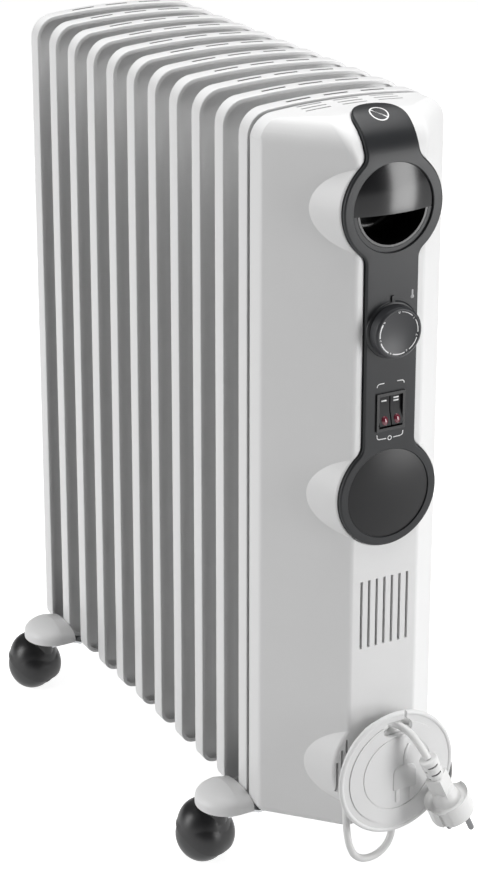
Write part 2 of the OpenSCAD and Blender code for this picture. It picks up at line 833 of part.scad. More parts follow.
// Outline of the moulded plug from its axis: sleeve, shoulder and round body
function plug_profile() = concat(
    [[0, 0], [sleeve_r - 0.8, 0], [sleeve_r, 0.8], [sleeve_r - 0.6, sleeve_l], [6.2, sleeve_l + 1]],
    [[6.2, shoulder_z - 2], [9, shoulder_z]],
    arc_pts([plug_r - 4, shoulder_z + 8], 4, 130, 0, 6),
    arc_pts([plug_r - 2, plug_z - 2], 2, 0, 90, 4),
    [[0, plug_z]]
);

module plug_body() {
    color("whitesmoke") plug_place() difference() {
        union() {
            rotate_extrude() polygon(plug_profile());
            translate([-bar_w / 2, -bar_t / 2, sleeve_l - 1.5])
                cube([bar_w, bar_t, shoulder_z - sleeve_l + 8]);
        }
        for (s = [-1, 1]) {
            translate([-plug_r, s > 0 ? plug_flat : -plug_flat - 9, shoulder_z])
                cube([2 * plug_r, 9, plug_z]);
            translate([-2.4, s > 0 ? plug_flat - 1.2 : -plug_flat - 1, shoulder_z + 12])
                cube([4.8, 2.2, plug_z - shoulder_z]);
            for (t = [-1, 1]) translate([t * (pin_gap / 2 + 1) - 0.8, s > 0 ? plug_flat - 1.2 : -plug_flat - 1, shoulder_z + 10])
                cube([1.6, 2.2, 13]);
            translate([s * pin_gap / 2, 0, plug_z - pin_root_l]) cylinder(h = 20, r = pin_root_r + run);
        }
        sleeve_cuts();
    }
}

// Short cuts across the sleeve, in turn on one side and on the other
module sleeve_cuts() {
    for (k = [0:3]) rotate([0, 0, 90 * (k % 2) + 45]) for (s = [0, 1])
        mirror([s, 0, 0]) translate([4.6, -4.2, 4 + 4 * k]) cube([6, 8.4, 1.5]);
}

// Two pins, each with a thicker root inside the plug and a rounded tip
module plug_pins() {
    color("silver") plug_place() for (s = [-1, 1]) translate([s * pin_gap / 2, 0, plug_z]) {
        translate([0, 0, seat - pin_root_l]) cylinder(h = pin_root_l, r = pin_root_r);
        cylinder(h = pin_l - pin_r, r = pin_r);
        translate([0, 0, pin_l - pin_r]) sphere(r = pin_r);
    }
}

// ---------------------------------------------------------------- feet

// Bracket under the fins: a strip with raised ends and two lugs between the fins
module foot_bracket(x) {
    end_y = hw + wing_out - 4;
    zig = [[0, 0], [hw - 6, 0], [hw + 1, joggle], [end_y, joggle]];
    under = [for (p = zig) [p[0], p[1] + z_plate - bracket_t]];
    over = [for (i = [len(zig) - 1:-1:0]) [zig[i][0], zig[i][1] + z_plate]];
    half = concat(under, over);
    wx = x + wing_shift;
    color("silver") difference() {
        union() {
            intersection() {
                for (m = [0, 1]) mirror([0, m, 0]) along_x(x - 40, 100) polygon(half);
                union() {
                    translate([x - 15, -hw, 0]) cube([30, 2 * hw, 100]);
                    for (s = [-1, 1]) {
                        translate([wx - wing_l / 2 + 4, s > 0 ? hw - 16 : -stem_y, 0])
                            cube([wing_l - 8, stem_y - hw + 16, 100]);
                        translate([wx, s * stem_y, 0]) cylinder(h = 100, r = wing_out - 26);
                    }
                }
            }
            for (y = [-40, 40 - 2]) translate([x - 9, y, z_plate - eps]) cube([18, 2, 16]);
        }
        for (s = [-1, 1]) {
            translate([wx, s * stem_y, z_plate - 10]) cylinder(h = 30, r = stem_r + run);
            translate([x, s * rod_y, z_plate - 10]) cylinder(h = 30, r = rod_r + run);
        }
    }
}

rod_r = 2.5;
rod_y = collar_r + seat + rod_r;

// Bent rods over the lower collars, with nuts under the brackets
module foot_clamps() {
    z_nut = z_plate - bracket_t - seat;
    color("silver") for (x = [foot_rear_x, foot_front_x]) translate([x, 0, 0]) {
        translate([0, 0, z_low]) rotate([90, 0, 90]) rotate_extrude(angle = 180)
            translate([rod_y, 0]) circle(r = rod_r);
        for (s = [-1, 1]) translate([0, s * rod_y, 0]) {
            translate([0, 0, z_nut - 6]) cylinder(h = z_low - z_nut + 6, r = rod_r);
            translate([0, 0, z_nut - 4]) cylinder(h = 4, r = 4.6, $fn = 6);
        }
    }
}

// Section of a wing: an upright edge that curves over to the top
function wing_section(r, h) =
    concat([[0, 0], [r, 0]], [for (a = [0:11.25:90]) [r * cos(a), h * (0.3 + 0.7 * sin(a))]]);

// Wing: a straight stretch from y0 to y1 and a half round end
module wing_form(r, y0, y1, h) {
    section = wing_section(r, h);
    translate([0, y1, 0]) rotate_extrude(angle = 180) polygon(section);
    translate([0, y1, 0]) rotate([90, 0, 0]) linear_extrude(y1 - y0) {
        polygon(section);
        mirror([1, 0]) polygon(section);
    }
}

// Wing cover over the end of a bracket, hollow below, with a socket for the stem
module wing(x, side) {
    r = wing_l / 2;
    y0 = hw + 0.4;
    y1 = hw + wing_out - r;
    color("whitesmoke") translate([x + wing_shift, 0, z_pad + seat]) mirror([0, side < 0 ? 1 : 0, 0])
        difference() {
            wing_form(r, y0, y1, wing_h);
            difference() {
                translate([0, 0, -eps]) wing_form(r - wing_wall, y0 + wing_wall, y1, wing_h - wing_wall);
                translate([0, stem_y, -1]) cylinder(h = wing_h, r = stem_r + 2.4);
            }
            translate([0, stem_y, -1]) cylinder(h = stem_top - z_pad + 1.5, r = stem_r + run);
        }
}

// ---------------------------------------------------------------- castors

// Frame of a castor: stem at the origin, wheels trailing towards -X
module castor_place(x, side) {
    translate([x + wing_shift, side * stem_y, 0]) mirror([0, side < 0 ? 0 : 1, 0])
        rotate([0, 0, swivel_rest]) children();
}

// Barrel of the pair of wheels with its domed ends, drawn out by g
module barrel_form(g) {
    translate([-trail, 0, wheel_r]) intersection() {
        sphere(r = ball_r + g);
        translate([0, wheel_out + g, 0]) rotate([90, 0, 0]) cylinder(h = 2 * (wheel_out + g), r = wheel_r + g);
    }
}

module castor_body() {
    difference() {
        union() {
            difference() {
                barrel_form(hood_out);
                hood_cut(0);
            }
            translate([0, 0, wheel_r + 8]) cylinder(h = collar_h - wheel_r - 8, r = 9);
        }
        barrel_form(hood_in);
    }
    difference() {
        intersection() {
            translate([-trail, web_half, wheel_r]) rotate([90, 0, 0]) cylinder(h = 2 * web_half, r = wheel_r + hood_out - 0.5);
            union() {
                translate([-trail, web_half, wheel_r]) rotate([90, 0, 0]) cylinder(h = 2 * web_half, r = 8);
                difference() {
                    translate([-60, -10, 0]) cube([100, 20, 60]);
                    hood_cut(1);
                }
            }
        }
        translate([-trail, 10, wheel_r]) rotate([90, 0, 0]) cylinder(h = 20, r = axle_r + 0.02);
    }
    translate([0, 0, collar_h - 4]) cylinder(h = stem_top - collar_h + 4, r = stem_r);
}

// Everything below the slanted lower edge of the hood
module hood_cut(drop) {
    translate([-trail, 0, wheel_r + 2 - drop]) rotate([0, 28, 0])
        translate([-50, -50, -100]) cube(100);
}

module castor(x, side) color("dimgray") castor_place(x, side) castor_body();

module axle(x, side)
    color("silver") castor_place(x, side) translate([-trail, 19, wheel_r]) rotate([90, 0, 0])
        cylinder(h = 38, r = axle_r);

// One wheel: round tread, domed outside, blind bore; end = 1 on the outer side
module wheel(x, side, end) {
    color("dimgray") castor_place(x, side) translate([-trail, 0, wheel_r])
        rotate([end > 0 ? 90 : -90, 0, 0]) difference() {
            intersection() {
                sphere(r = ball_r);
                translate([0, 0, wheel_in]) cylinder(h = wheel_out - wheel_in, r = wheel_r);
            }
            cylinder(h = 19.4, r = axle_r + run);
        }
}

// ---------------------------------------------------------------- the object

fin(0);  // fin_01
fin(1);  // fin_02
fin(2);  // fin_03
fin(3);  // fin_04
fin(4);  // fin_05
fin(5);  // fin_06
fin(6);  // fin_07
fin(7);  // fin_08
fin(8);  // fin_09
fin(9);  // fin_10
fin(10);  // fin_11
header_collars();
filler_plug();
heating_element();
element_flange();
backplate();
control_housing();
housing_screws();
fascia();
handle_hood();
handle_cup();
badge_disc();
knob();
thermostat();
thermal_cutout();
terminal_block();
switch_case();
rocker(-rocker_step / 2);  // rocker_1
rocker(rocker_step / 2);  // rocker_2
reel_hub();
reel_disc();
cord_gland();
cord_loop();
cord_winding();
cord_tail();
plug_body();
plug_pins();
foot_bracket(foot_rear_x);  // foot_bracket_rear
foot_bracket(foot_front_x);  // foot_bracket_front
foot_clamps();
wing(foot_rear_x, -1);  // wing_rear_left
wing(foot_rear_x, 1);  // wing_rear_right
wing(foot_front_x, -1);  // wing_front_left
wing(foot_front_x, 1);  // wing_front_right
castor(foot_rear_x, -1);  // castor_rear_left
castor(foot_rear_x, 1);  // castor_rear_right
castor(foot_front_x, -1);  // castor_front_left
castor(foot_front_x, 1);  // castor_front_right
axle(foot_rear_x, -1);  // axle_rear_left
axle(foot_rear_x, 1);  // axle_rear_right
axle(foot_front_x, -1);  // axle_front_left
axle(foot_front_x, 1);  // axle_front_right
wheel(foot_rear_x, -1, 1);  // wheel_rear_left_out
wheel(foot_rear_x, -1, 0);  // wheel_rear_left_in
wheel(foot_rear_x, 1, 1);  // wheel_rear_right_out
wheel(foot_rear_x, 1, 0);  // wheel_rear_right_in
wheel(foot_front_x, -1, 1);  // wheel_front_left_out
wheel(foot_front_x, -1, 0);  // wheel_front_left_in
wheel(foot_front_x, 1, 1);  // wheel_front_right_out
wheel(foot_front_x, 1, 0);  // wheel_front_right_in
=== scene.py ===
"""Looks of an oil-filled radiator heater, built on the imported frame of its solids."""
import json
import logging
import math
from dataclasses import dataclass, field
from enum import Enum
from typing import Callable, Sequence

import bmesh
import bpy
from mathutils import Matrix, Vector


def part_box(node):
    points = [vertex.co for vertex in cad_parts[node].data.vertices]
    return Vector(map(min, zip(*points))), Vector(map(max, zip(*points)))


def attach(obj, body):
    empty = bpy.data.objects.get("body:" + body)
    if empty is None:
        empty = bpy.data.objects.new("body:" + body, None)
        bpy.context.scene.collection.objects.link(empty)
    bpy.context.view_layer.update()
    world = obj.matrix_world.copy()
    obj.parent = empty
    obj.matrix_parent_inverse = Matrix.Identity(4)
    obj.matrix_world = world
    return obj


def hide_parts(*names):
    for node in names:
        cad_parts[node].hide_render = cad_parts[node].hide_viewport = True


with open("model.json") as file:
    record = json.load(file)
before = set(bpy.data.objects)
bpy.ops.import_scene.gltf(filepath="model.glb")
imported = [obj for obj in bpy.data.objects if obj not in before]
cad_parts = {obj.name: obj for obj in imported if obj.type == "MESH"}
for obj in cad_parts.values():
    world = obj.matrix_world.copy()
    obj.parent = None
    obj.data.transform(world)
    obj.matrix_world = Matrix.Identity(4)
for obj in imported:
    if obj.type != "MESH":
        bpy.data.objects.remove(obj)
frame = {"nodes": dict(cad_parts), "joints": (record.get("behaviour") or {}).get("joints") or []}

log = logging.getLogger("heater")
MM = 0.001
FIN_COUNT = 11
FASCIA_OUT = 3.0
LEAST_ROUGHNESS = 0.02
COAT_ROUGHNESS = 0.06
DUST_COLOR = (0.5, 0.49, 0.47, 1.0)
Point = tuple[float, float, float]
Pair = tuple[float, float]
EdgePoint = tuple[float, float, float, float]
Faces = list[list[int]]
Shape = tuple[list[Point], Faces]
Placing = Callable[[float, float, float], Point]
Piece = bpy.types.Object
Tree = bpy.types.NodeTree
Socket = bpy.types.NodeSocket


class Body(str, Enum):
    """Names of the fixed and the turning bodies that single pieces ride on."""

    HEATER = "heater"
    KNOB = "knob"
    ROCKER_LEFT = "rocker_1"
    ROCKER_RIGHT = "rocker_2"


class Slot(str, Enum):
    """Names of slots in the record, passed with each piece."""

    ENAMEL = "white_enamel"
    HOUSING = "housing_plastic"
    FASCIA = "fascia_plastic"
    GLOSS = "black_gloss"
    BLACK = "black_plastic"
    KNOB = "knob_plastic"
    ROCKER = "rocker_plastic"
    CORD = "cord_white"
    PIN = "pin_metal"
    CASTOR = "castor_plastic"
    WHEEL = "wheel_plastic"


# --- shader groups


def new_group(name: str, inputs: Sequence[tuple[str, str, float]],
              outputs: Sequence[tuple[str, str]]) -> Tree:
    """Makes an empty shader group with named sockets.

    Args:
        name: name of the group.
        inputs: name, socket type and default of each input.
        outputs: name and socket type of each output.

    Returns:
        The node tree, with its two end nodes in place.
    """
    tree = bpy.data.node_groups.new(name, "ShaderNodeTree")
    for label, kind, default in inputs:
        socket = tree.interface.new_socket(label, in_out="INPUT", socket_type=kind)
        if kind == "NodeSocketFloat":
            socket.default_value = default
    for label, kind in outputs:
        tree.interface.new_socket(label, in_out="OUTPUT", socket_type=kind)
    tree.nodes.new("NodeGroupInput").name = "in"
    tree.nodes.new("NodeGroupOutput").name = "out"
    return tree


def math_node(tree: Tree, operation: str, first: object, second: object = None) -> Socket:
    """Adds a Math node and returns its output socket.

    Args:
        tree: tree to add it to.
        operation: the node's operation.
        first: a socket or a number.
        second: a socket, a number or None.

    Returns:
        The node's output socket.
    """
    node = tree.nodes.new("ShaderNodeMath")
    node.operation = operation
    for index, value in enumerate((first, second)):
        if isinstance(value, Socket):
            tree.links.new(value, node.inputs[index])
        elif value is not None:
            node.inputs[index].default_value = value
    return node.outputs[0]


def noise(tree: Tree, vector: object, scale: object, detail: float, rough: float = 0.5) -> Socket:
    """Adds a noise texture and returns its value socket.

    Args:
        tree: tree to add to.
        vector: socket of the place.
        scale: scale of the pattern, as a number or a socket.
        detail: number of octaves.
        rough: share that each octave keeps.

    Returns:
        Socket of the value.
    """
    node = tree.nodes.new("ShaderNodeTexNoise")
    node.inputs["Detail"].default_value = detail
    node.inputs["Roughness"].default_value = rough
    tree.links.new(vector, node.inputs["Vector"])
    if isinstance(scale, Socket):
        tree.links.new(scale, node.inputs["Scale"])
    else:
        node.inputs["Scale"].default_value = scale
    return node.outputs["Fac"]


def grain_group() -> Tree:
    """Fine surface grain: a height for the bump, and a slow unevenness for gloss and colour.

    Returns:
        The group.
    """
    tree = new_group(
        "surface_grain",
        [("Vector", "NodeSocketVector", 0), ("Size", "NodeSocketFloat", 0.001),
         ("Waviness", "NodeSocketFloat", 0.3)],
        [("Height", "NodeSocketFloat"), ("Unevenness", "NodeSocketFloat")],
    )
    start, end = tree.nodes["in"], tree.nodes["out"]
    vector = start.outputs["Vector"]
    fine = noise(tree, vector, math_node(tree, "DIVIDE", 1.0, start.outputs["Size"]), 2.0)
    slow = noise(tree, vector, 14.0, 3.0)
    waves = math_node(tree, "MULTIPLY", slow, start.outputs["Waviness"])
    tree.links.new(math_node(tree, "ADD", fine, waves), end.inputs["Height"])
    tree.links.new(noise(tree, vector, 38.0, 4.0, 0.6), end.inputs["Unevenness"])
    return tree


def streak_group() -> Tree:
    """Drawn or plated metal: fine lines along one direction, with a few cloudy spots.

    Returns:
        The group.
    """
    tree = new_group(
        "drawn_streaks",
        [("Vector", "NodeSocketVector", 0), ("Density", "NodeSocketFloat", 900.0)],
        [("Height", "NodeSocketFloat"), ("Cloud", "NodeSocketFloat")],
    )
    start, end = tree.nodes["in"], tree.nodes["out"]
    stretch = tree.nodes.new("ShaderNodeMapping")
    stretch.inputs["Scale"].default_value = (1.0, 0.03, 1.0)
    tree.links.new(start.outputs["Vector"], stretch.inputs["Vector"])
    lines = noise(tree, stretch.outputs[0], start.outputs["Density"], 3.0)
    tree.links.new(lines, end.inputs["Height"])
    tree.links.new(noise(tree, start.outputs["Vector"], 60.0, 4.0, 0.6), end.inputs["Cloud"])
    return tree


def dust_group() -> Tree:
    """A veil of fine dust that settles on faces that look up.

    Returns:
        The group.
    """
    tree = new_group(
        "settled_dust",
        [("Vector", "NodeSocketVector", 0), ("Amount", "NodeSocketFloat", 0.2)],
        [("Mask", "NodeSocketFloat")],
    )
    start, end = tree.nodes["in"], tree.nodes["out"]
    facing = tree.nodes.new("ShaderNodeNewGeometry")
    split = tree.nodes.new("ShaderNodeSeparateXYZ")
    tree.links.new(facing.outputs["Normal"], split.inputs[0])
    up = math_node(tree, "POWER", math_node(tree, "MAXIMUM", split.outputs["Z"], 0.0), 3.0)
    patch = noise(tree, start.outputs["Vector"], 90.0, 5.0, 0.7)
    mask = math_node(tree, "MULTIPLY", math_node(tree, "MULTIPLY", up, patch), start.outputs["Amount"])
    tree.links.new(mask, end.inputs["Mask"])
    return tree


GROUPS: dict[str, Tree] = {}


def use_group(tree: Tree, maker: Callable[[], Tree], vector: Socket, **values: float) -> bpy.types.Node:
    """Adds a shared shader group to a material, building the group on first use.

    Args:
        tree: the material's tree.
        maker: function that builds the group.
        vector: socket for the group's place.
        **values: value of each further input by name.

    Returns:
        The group's node.
    """
    if maker.__name__ not in GROUPS:
        GROUPS[maker.__name__] = maker()
    node = tree.nodes.new("ShaderNodeGroup")
    node.node_tree = GROUPS[maker.__name__]
    tree.links.new(vector, node.inputs["Vector"])
    for label, value in values.items():
        node.inputs[label].default_value = value
    return node


# --- finishes


@dataclass(frozen=True)
class Finish:
    """A finish for moulded, painted or printed faces."""

    name: str
    color: tuple[float, float, float]
    roughness: float = 0.45
    gloss_change: float = 0.06
    grain: float = 0.0006
    depth: float = 0.00001
    waviness: float = 0.3
    tint: float = 0.05
    dust: float = 0.0
    coat: float = 0.0
    metallic: float = 0.0
    specular: float = 0.5

    def texture(self, tree: Tree, vector: Socket) -> tuple[Socket, Socket]:
        """Returns the height and the slow variation of this finish."""
        node = use_group(tree, grain_group, vector, Size=self.grain, Waviness=self.waviness)
        return node.outputs["Height"], node.outputs["Unevenness"]

    def material(self) -> bpy.types.Material:
        """The material of this finish, built on first use.

        Returns:
            The material.
        """
        found = bpy.data.materials.get(self.name)
        if found:
            return found
        made = bpy.data.materials.new(self.name)
        made.use_nodes = True
        tree = made.node_tree
        shader = tree.nodes["Principled BSDF"]
        place = tree.nodes.new("ShaderNodeTexCoord").outputs["Object"]
        height, slow = self.texture(tree, place)
        ramp = tree.nodes.new("ShaderNodeMix")
        ramp.data_type = "RGBA"
        ramp.inputs["A"].default_value = (*[c * (1 - self.tint) for c in self.color], 1)
        ramp.inputs["B"].default_value = (*[min(1.0, c * (1 + self.tint)) for c in self.color], 1)
        tree.links.new(slow, ramp.inputs["Factor"])
        tree.links.new(self.dusty(tree, place, ramp.outputs["Result"]), shader.inputs["Base Color"])
        rough = tree.nodes.new("ShaderNodeMapRange")
        rough.inputs["To Min"].default_value = max(LEAST_ROUGHNESS, self.roughness - self.gloss_change)
        rough.inputs["To Max"].default_value = self.roughness + self.gloss_change
        tree.links.new(slow, rough.inputs["Value"])
        tree.links.new(rough.outputs[0], shader.inputs["Roughness"])
        bump = tree.nodes.new("ShaderNodeBump")
        bump.inputs["Distance"].default_value = self.depth
        tree.links.new(height, bump.inputs["Height"])
        tree.links.new(bump.outputs[0], shader.inputs["Normal"])
        shader.inputs["Metallic"].default_value = self.metallic
        shader.inputs["Specular IOR Level"].default_value = self.specular
        shader.inputs["Coat Weight"].default_value = self.coat
        shader.inputs["Coat Roughness"].default_value = COAT_ROUGHNESS
        made.diffuse_color = (*self.color, 1)
        return made

    def dusty(self, tree: Tree, place: Socket, color: Socket) -> Socket:
        """Lays a veil of dust over a colour, where this finish has one.

        Args:
            tree: tree of the material.
            place: socket of the place.
            color: socket of the bare colour.

        Returns:
            Socket of the colour with its dust.
        """
        if self.dust <= 0:
            return color
        veil = use_group(tree, dust_group, place, Amount=self.dust)
        mix = tree.nodes.new("ShaderNodeMix")
        mix.data_type = "RGBA"
        mix.inputs["B"].default_value = DUST_COLOR
        tree.links.new(color, mix.inputs["A"])
        tree.links.new(veil.outputs["Mask"], mix.inputs["Factor"])
        return mix.outputs["Result"]


@dataclass(frozen=True)
class MetalFinish(Finish):
    """A plated, drawn or heat-darkened metal."""

    metallic: float = 1.0
    density: float = 900.0

    def texture(self, tree: Tree, vector: Socket) -> tuple[Socket, Socket]:
        """Returns the streaks' height and the cloudiness of this metal."""
        node = use_group(tree, streak_group, vector, Density=self.density)
        return node.outputs["Height"], node.outputs["Cloud"]


ENAMEL = Finish("enamel_white", (0.80, 0.80, 0.80), 0.34, 0.04, 0.0016, 0.000012, 0.6, 0.015)
HOUSING = Finish("housing_white", (0.80, 0.80, 0.80), 0.42, 0.04, 0.0005, 0.000008, 0.3, 0.015)
FASCIA = Finish("fascia_grey", (0.022, 0.023, 0.025), 0.33, 0.05, 0.0005, 0.00001, 0.2, 0.10, 0.01,
                specular=0.28)
GLOSS = Finish("hood_black", (0.007, 0.007, 0.008), 0.18, 0.03, 0.003, 0.000004, 0.5, 0.1, 0.0)
BADGE = Finish("badge_black", (0.012, 0.012, 0.013), 0.30, 0.04, 0.001, 0.000004, 0.3, 0.1, 0.0,
               specular=0.25)
BLACK = Finish("cup_black", (0.006, 0.006, 0.007), 0.24, 0.05, 0.0007, 0.00001, 0.2, 0.1)
KNOB = Finish("knob_grey", (0.030, 0.031, 0.034), 0.34, 0.05, 0.0004, 0.000008, 0.2, 0.08, 0.01,
              specular=0.32)
ROCKER = Finish("rocker_grey", (0.010, 0.010, 0.011), 0.42, 0.04, 0.0006, 0.000006, 0.2, 0.08, specular=0.18)
CORD = Finish("vinyl_white", (0.80, 0.80, 0.795), 0.38, 0.05, 0.0008, 0.00001, 0.4, 0.02)
CASTOR = Finish("castor_black", (0.010, 0.010, 0.011), 0.36, 0.06, 0.0006, 0.00001, 0.3, 0.12, 0.04)
WHEEL = Finish("wheel_grey", (0.014, 0.015, 0.016), 0.36, 0.06, 0.0008, 0.00001, 0.3, 0.12, 0.04)
IVORY = Finish("ivory_moulding", (0.70, 0.65, 0.54), 0.5, 0.06, 0.0006, 0.00001, 0.3, 0.05)
INK = Finish("white_print", (0.86, 0.86, 0.86), 0.5, 0.05, 0.0004, 0.000004, 0.2, 0.02)
GREY_INK = Finish("grey_print", (0.42, 0.42, 0.43), 0.5, 0.05, 0.0004, 0.000004, 0.2, 0.04)
# Painted shade: a near-black finish for thin sheets laid inside the fins' slits and the plug's sleeve cuts,
# where only shade falls. Cutters that are used up carry it too.
PAINTED_SHADE = Finish("vent_shadow", (0.045, 0.045, 0.047), 0.7, 0.05, 0.001, 0.00001, 0.2, 0.1)
LENS = Finish("neon_lens", (0.16, 0.012, 0.03), 0.12, 0.03, 0.002, 0.000006, 0.2, 0.15, 0.0, 0.6)
ZINC = MetalFinish("zinc_plate", (0.55, 0.56, 0.57), 0.38, 0.08, depth=0.000006, tint=0.08)
AXLE = MetalFinish("drawn_steel", (0.52, 0.52, 0.52), 0.25, 0.05, depth=0.000004, tint=0.05)
ELEMENT = MetalFinish("dark_steel", (0.28, 0.26, 0.25), 0.5, 0.08, depth=0.00001, tint=0.15)
PIN = MetalFinish("nickel_pin", (0.17, 0.17, 0.175), 0.28, 0.05, depth=0.000004, tint=0.05, density=1400.0)
BRASS = MetalFinish("bare_brass", (0.70, 0.50, 0.24), 0.35, 0.08, depth=0.000006, tint=0.1)


# --- mesh helpers


def add_object(name: str, data: bpy.types.ID) -> Piece:
    """Makes an object for a mesh, curve, lamp or camera, and links it to the scene.

    Args:
        name: name of the object.
        data: its mesh, curve, lamp or camera.

    Returns:
        The object.
    """
    made = bpy.data.objects.new(name, data)
    bpy.context.scene.collection.objects.link(made)
    return made


def run_modifiers(piece: Piece) -> bpy.types.Mesh:
    """A plain mesh of a piece with its modifiers run."""
    return bpy.data.meshes.new_from_object(piece.evaluated_get(bpy.context.evaluated_depsgraph_get()))


def shade(mesh: bpy.types.Mesh, angle: float, finish: Finish | None = None) -> None:
    """Shades a mesh smooth below an angle in degrees, and gives it a finish where one is named.

    Args:
        mesh: mesh that changes.
        angle: smooth shading limit in degrees.
        finish: finish of all its faces, or None to keep what it has.
    """
    mesh.shade_smooth()
    mesh.set_sharp_from_angle(angle=math.radians(angle))
    if finish:
        mesh.materials.clear()
        mesh.materials.append(finish.material())


def weigh(piece: Piece) -> None:
    """Weighs the corner normals of a piece by face area, so that flats stay flat.

    Args:
        piece: piece that changes.
    """
    modifier = piece.modifiers.new("weighted", "WEIGHTED_NORMAL")
    modifier.keep_sharp = True
    modifier.weight = 80


def make_piece(name: str, verts: Sequence[Sequence[float]], faces: Sequence[Sequence[int]], finish: Finish,
               angle: float = 30.0) -> Piece:
    """Makes a mesh piece from points in millimetres.

    Args:
        name: name of the piece.
        verts: points in millimetres in the row frame.
        faces: lists of point numbers.
        finish: finish of the piece.
        angle: faces that meet at less than this many degrees are shaded smooth.

    Returns:
        The new object, at the origin.
    """
    mesh = bpy.data.meshes.new(name)
    mesh.from_pydata([[c * MM for c in v] for v in verts], [], [list(f) for f in faces])
    return finish_mesh(name, mesh, finish, angle)


def finish_mesh(name: str, mesh: bpy.types.Mesh, finish: Finish, angle: float) -> Piece:
    """Merges doubles, turns the faces outwards, shades the mesh and links an object for it.

    Args:
        name: name of the object.
        mesh: mesh that changes.
        finish: finish of all its faces.
        angle: smooth shading limit in degrees.

    Returns:
        The object.
    """
    work = bmesh.new()
    work.from_mesh(mesh)
    bmesh.ops.remove_doubles(work, verts=work.verts, dist=1e-6)
    bmesh.ops.dissolve_degenerate(work, dist=1e-7, edges=work.edges)
    bmesh.ops.recalc_face_normals(work, faces=work.faces)
    work.to_mesh(mesh)
    work.free()
    shade(mesh, angle, finish)
    return add_object(name, mesh)


def settle(piece: Piece, body: str, slot: Slot, *nodes: str) -> Piece:
    """Puts a finished piece on its body and hides the nodes it stands for.

    Args:
        piece: the finished piece.
        body: body that it rides on.
        slot: slot of the record that its finish is named by; not used.
        nodes: nodes that it stands for.

    Returns:
        The same piece.
    """
    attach(piece, str(getattr(body, "value", body)))
    if nodes:
        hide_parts(*nodes)
    log.info("piece %s rides on %s, %d faces", piece.name, getattr(body, "value", body),
             len(piece.data.polygons))
    return piece


def smooth_copy(node: str, name: str, finish: Finish, angle: float = 32.0) -> Piece:
    """Makes a merged and smoothly shaded copy of a node's mesh.

    Args:
        node: node to copy.
        name: name of the copy.
        finish: finish of the copy.
        angle: faces that meet at less than this many degrees are shaded smooth.

    Returns:
        The copy, not yet on a body.
    """
    mesh = frame["nodes"][node].data.copy()
    mesh.name = name
    for attribute in [a for a in mesh.attributes if a.name == "custom_normal"]:
        mesh.attributes.remove(attribute)
    work = bmesh.new()
    work.from_mesh(mesh)
    bmesh.ops.remove_doubles(work, verts=work.verts, dist=2e-6)
    work.to_mesh(mesh)
    work.free()
    shade(mesh, angle, finish)
    made = add_object(name, mesh)
    weigh(made)
    return made


def recast(node: str, name: str, finish: Finish, slot: Slot, angle: float = 32.0,
           body: str = Body.HEATER) -> None:
    """Puts a smoothly shaded copy in the place of a node, on the node's body."""
    settle(smooth_copy(node, name, finish, angle), body, slot, node)


def dress(node: str, finish: Finish) -> None:
    """Gives a node that stays as it is its material.

    Args:
        node: the node.
        finish: its finish.
    """
    data = frame["nodes"][node].data
    data.materials.clear()
    data.materials.append(finish.material())
    log.info("node %s keeps its shape, finish %s", node, finish.name)


def ring_faces(rings: int, count: int, closed_rings: bool = True, closed_path: bool = False) -> Faces:
    """Quads between successive rings of points.

    Args:
        rings: number of rings.
        count: points in each ring.
        closed_rings: whether each ring closes on itself.
        closed_path: whether the last ring joins the first.

    Returns:
        The list of faces.
    """
    last = rings if closed_path else rings - 1
    width = count if closed_rings else count - 1
    return [
        [i * count + k, i * count + (k + 1) % count, ((i + 1) % rings) * count + (k + 1) % count,
         ((i + 1) % rings) * count + k]
        for i in range(last) for k in range(width)]


def grid_faces(start: int, rows: int, cols: int, flip: bool) -> Faces:
    """Quads of a grid of points that are numbered row by row.

    Args:
        start: number of the first point.
        rows: number of rows.
        cols: points in each row.
        flip: whether the quads look the other way.

    Returns:
        The list of faces.
    """
    corners = [start + i * cols + k for i in range(rows - 1) for k in range(cols - 1)]
    quads = [[a, a + 1, a + cols + 1, a + cols] for a in corners]
    return [quad[::-1] for quad in quads] if flip else quads


def revolve(profile: Sequence[Pair], steps: int, place: Placing) -> Shape:
    """Turns a profile of (radius, height) pairs all the way round an axis.

    Args:
        profile: points from the axis outwards and back, in millimetres.
        steps: steps in a full turn.
        place: maps (two cross coordinates, height) to a point in the row frame.


    Returns:
        Points and faces.
    """
    verts: list[Point] = []
    for i in range(steps):
        a = math.radians(360.0 * i / steps)
        verts += [place(r * math.cos(a), r * math.sin(a), h) for r, h in profile]
    return verts, ring_faces(steps, len(profile), closed_rings=False, closed_path=True)


def about_x(x: float, y: float, z: float) -> Placing:
    """Placing on a face that looks along +X: across is +Y, up is +Z, and height goes out along +X."""
    return lambda u, v, h: (x + h, y + u, z + v)


def about_z(x: float, y: float, z: float) -> Placing:
    """Placing on a face that looks along +Z: across is +X, up is +Y, and height goes out along +Z."""
    return lambda u, v, h: (x + u, y + v, z + h)


def arc(cx: float, cy: float, r: float, a0: float, a1: float, n: int) -> list[Pair]:
    """Points on an arc, ends included, with angles in degrees."""
    steps = [math.radians(a0 + (a1 - a0) * i / n) for i in range(n + 1)]
    return [(cx + r * math.cos(a), cy + r * math.sin(a)) for a in steps]


def arc_edge(cx: float, cy: float, r: float, a0: float, a1: float, n: int,
             way: float = 1) -> list[EdgePoint]:
    """Points on an arc with their normals, which look outwards, or inwards where way is -1."""
    steps = [math.radians(a0 + (a1 - a0) * i / n) for i in range(n + 1)]
    return [(cx + r * math.cos(a), cy + r * math.sin(a), way * math.cos(a), way * math.sin(a)) for a in steps]


def smoothstep(t: float) -> float:
    """Smooth step from 0 to 1."""
    t = min(1.0, max(0.0, t))
    return t * t * (3 - 2 * t)


# --- geometry nodes


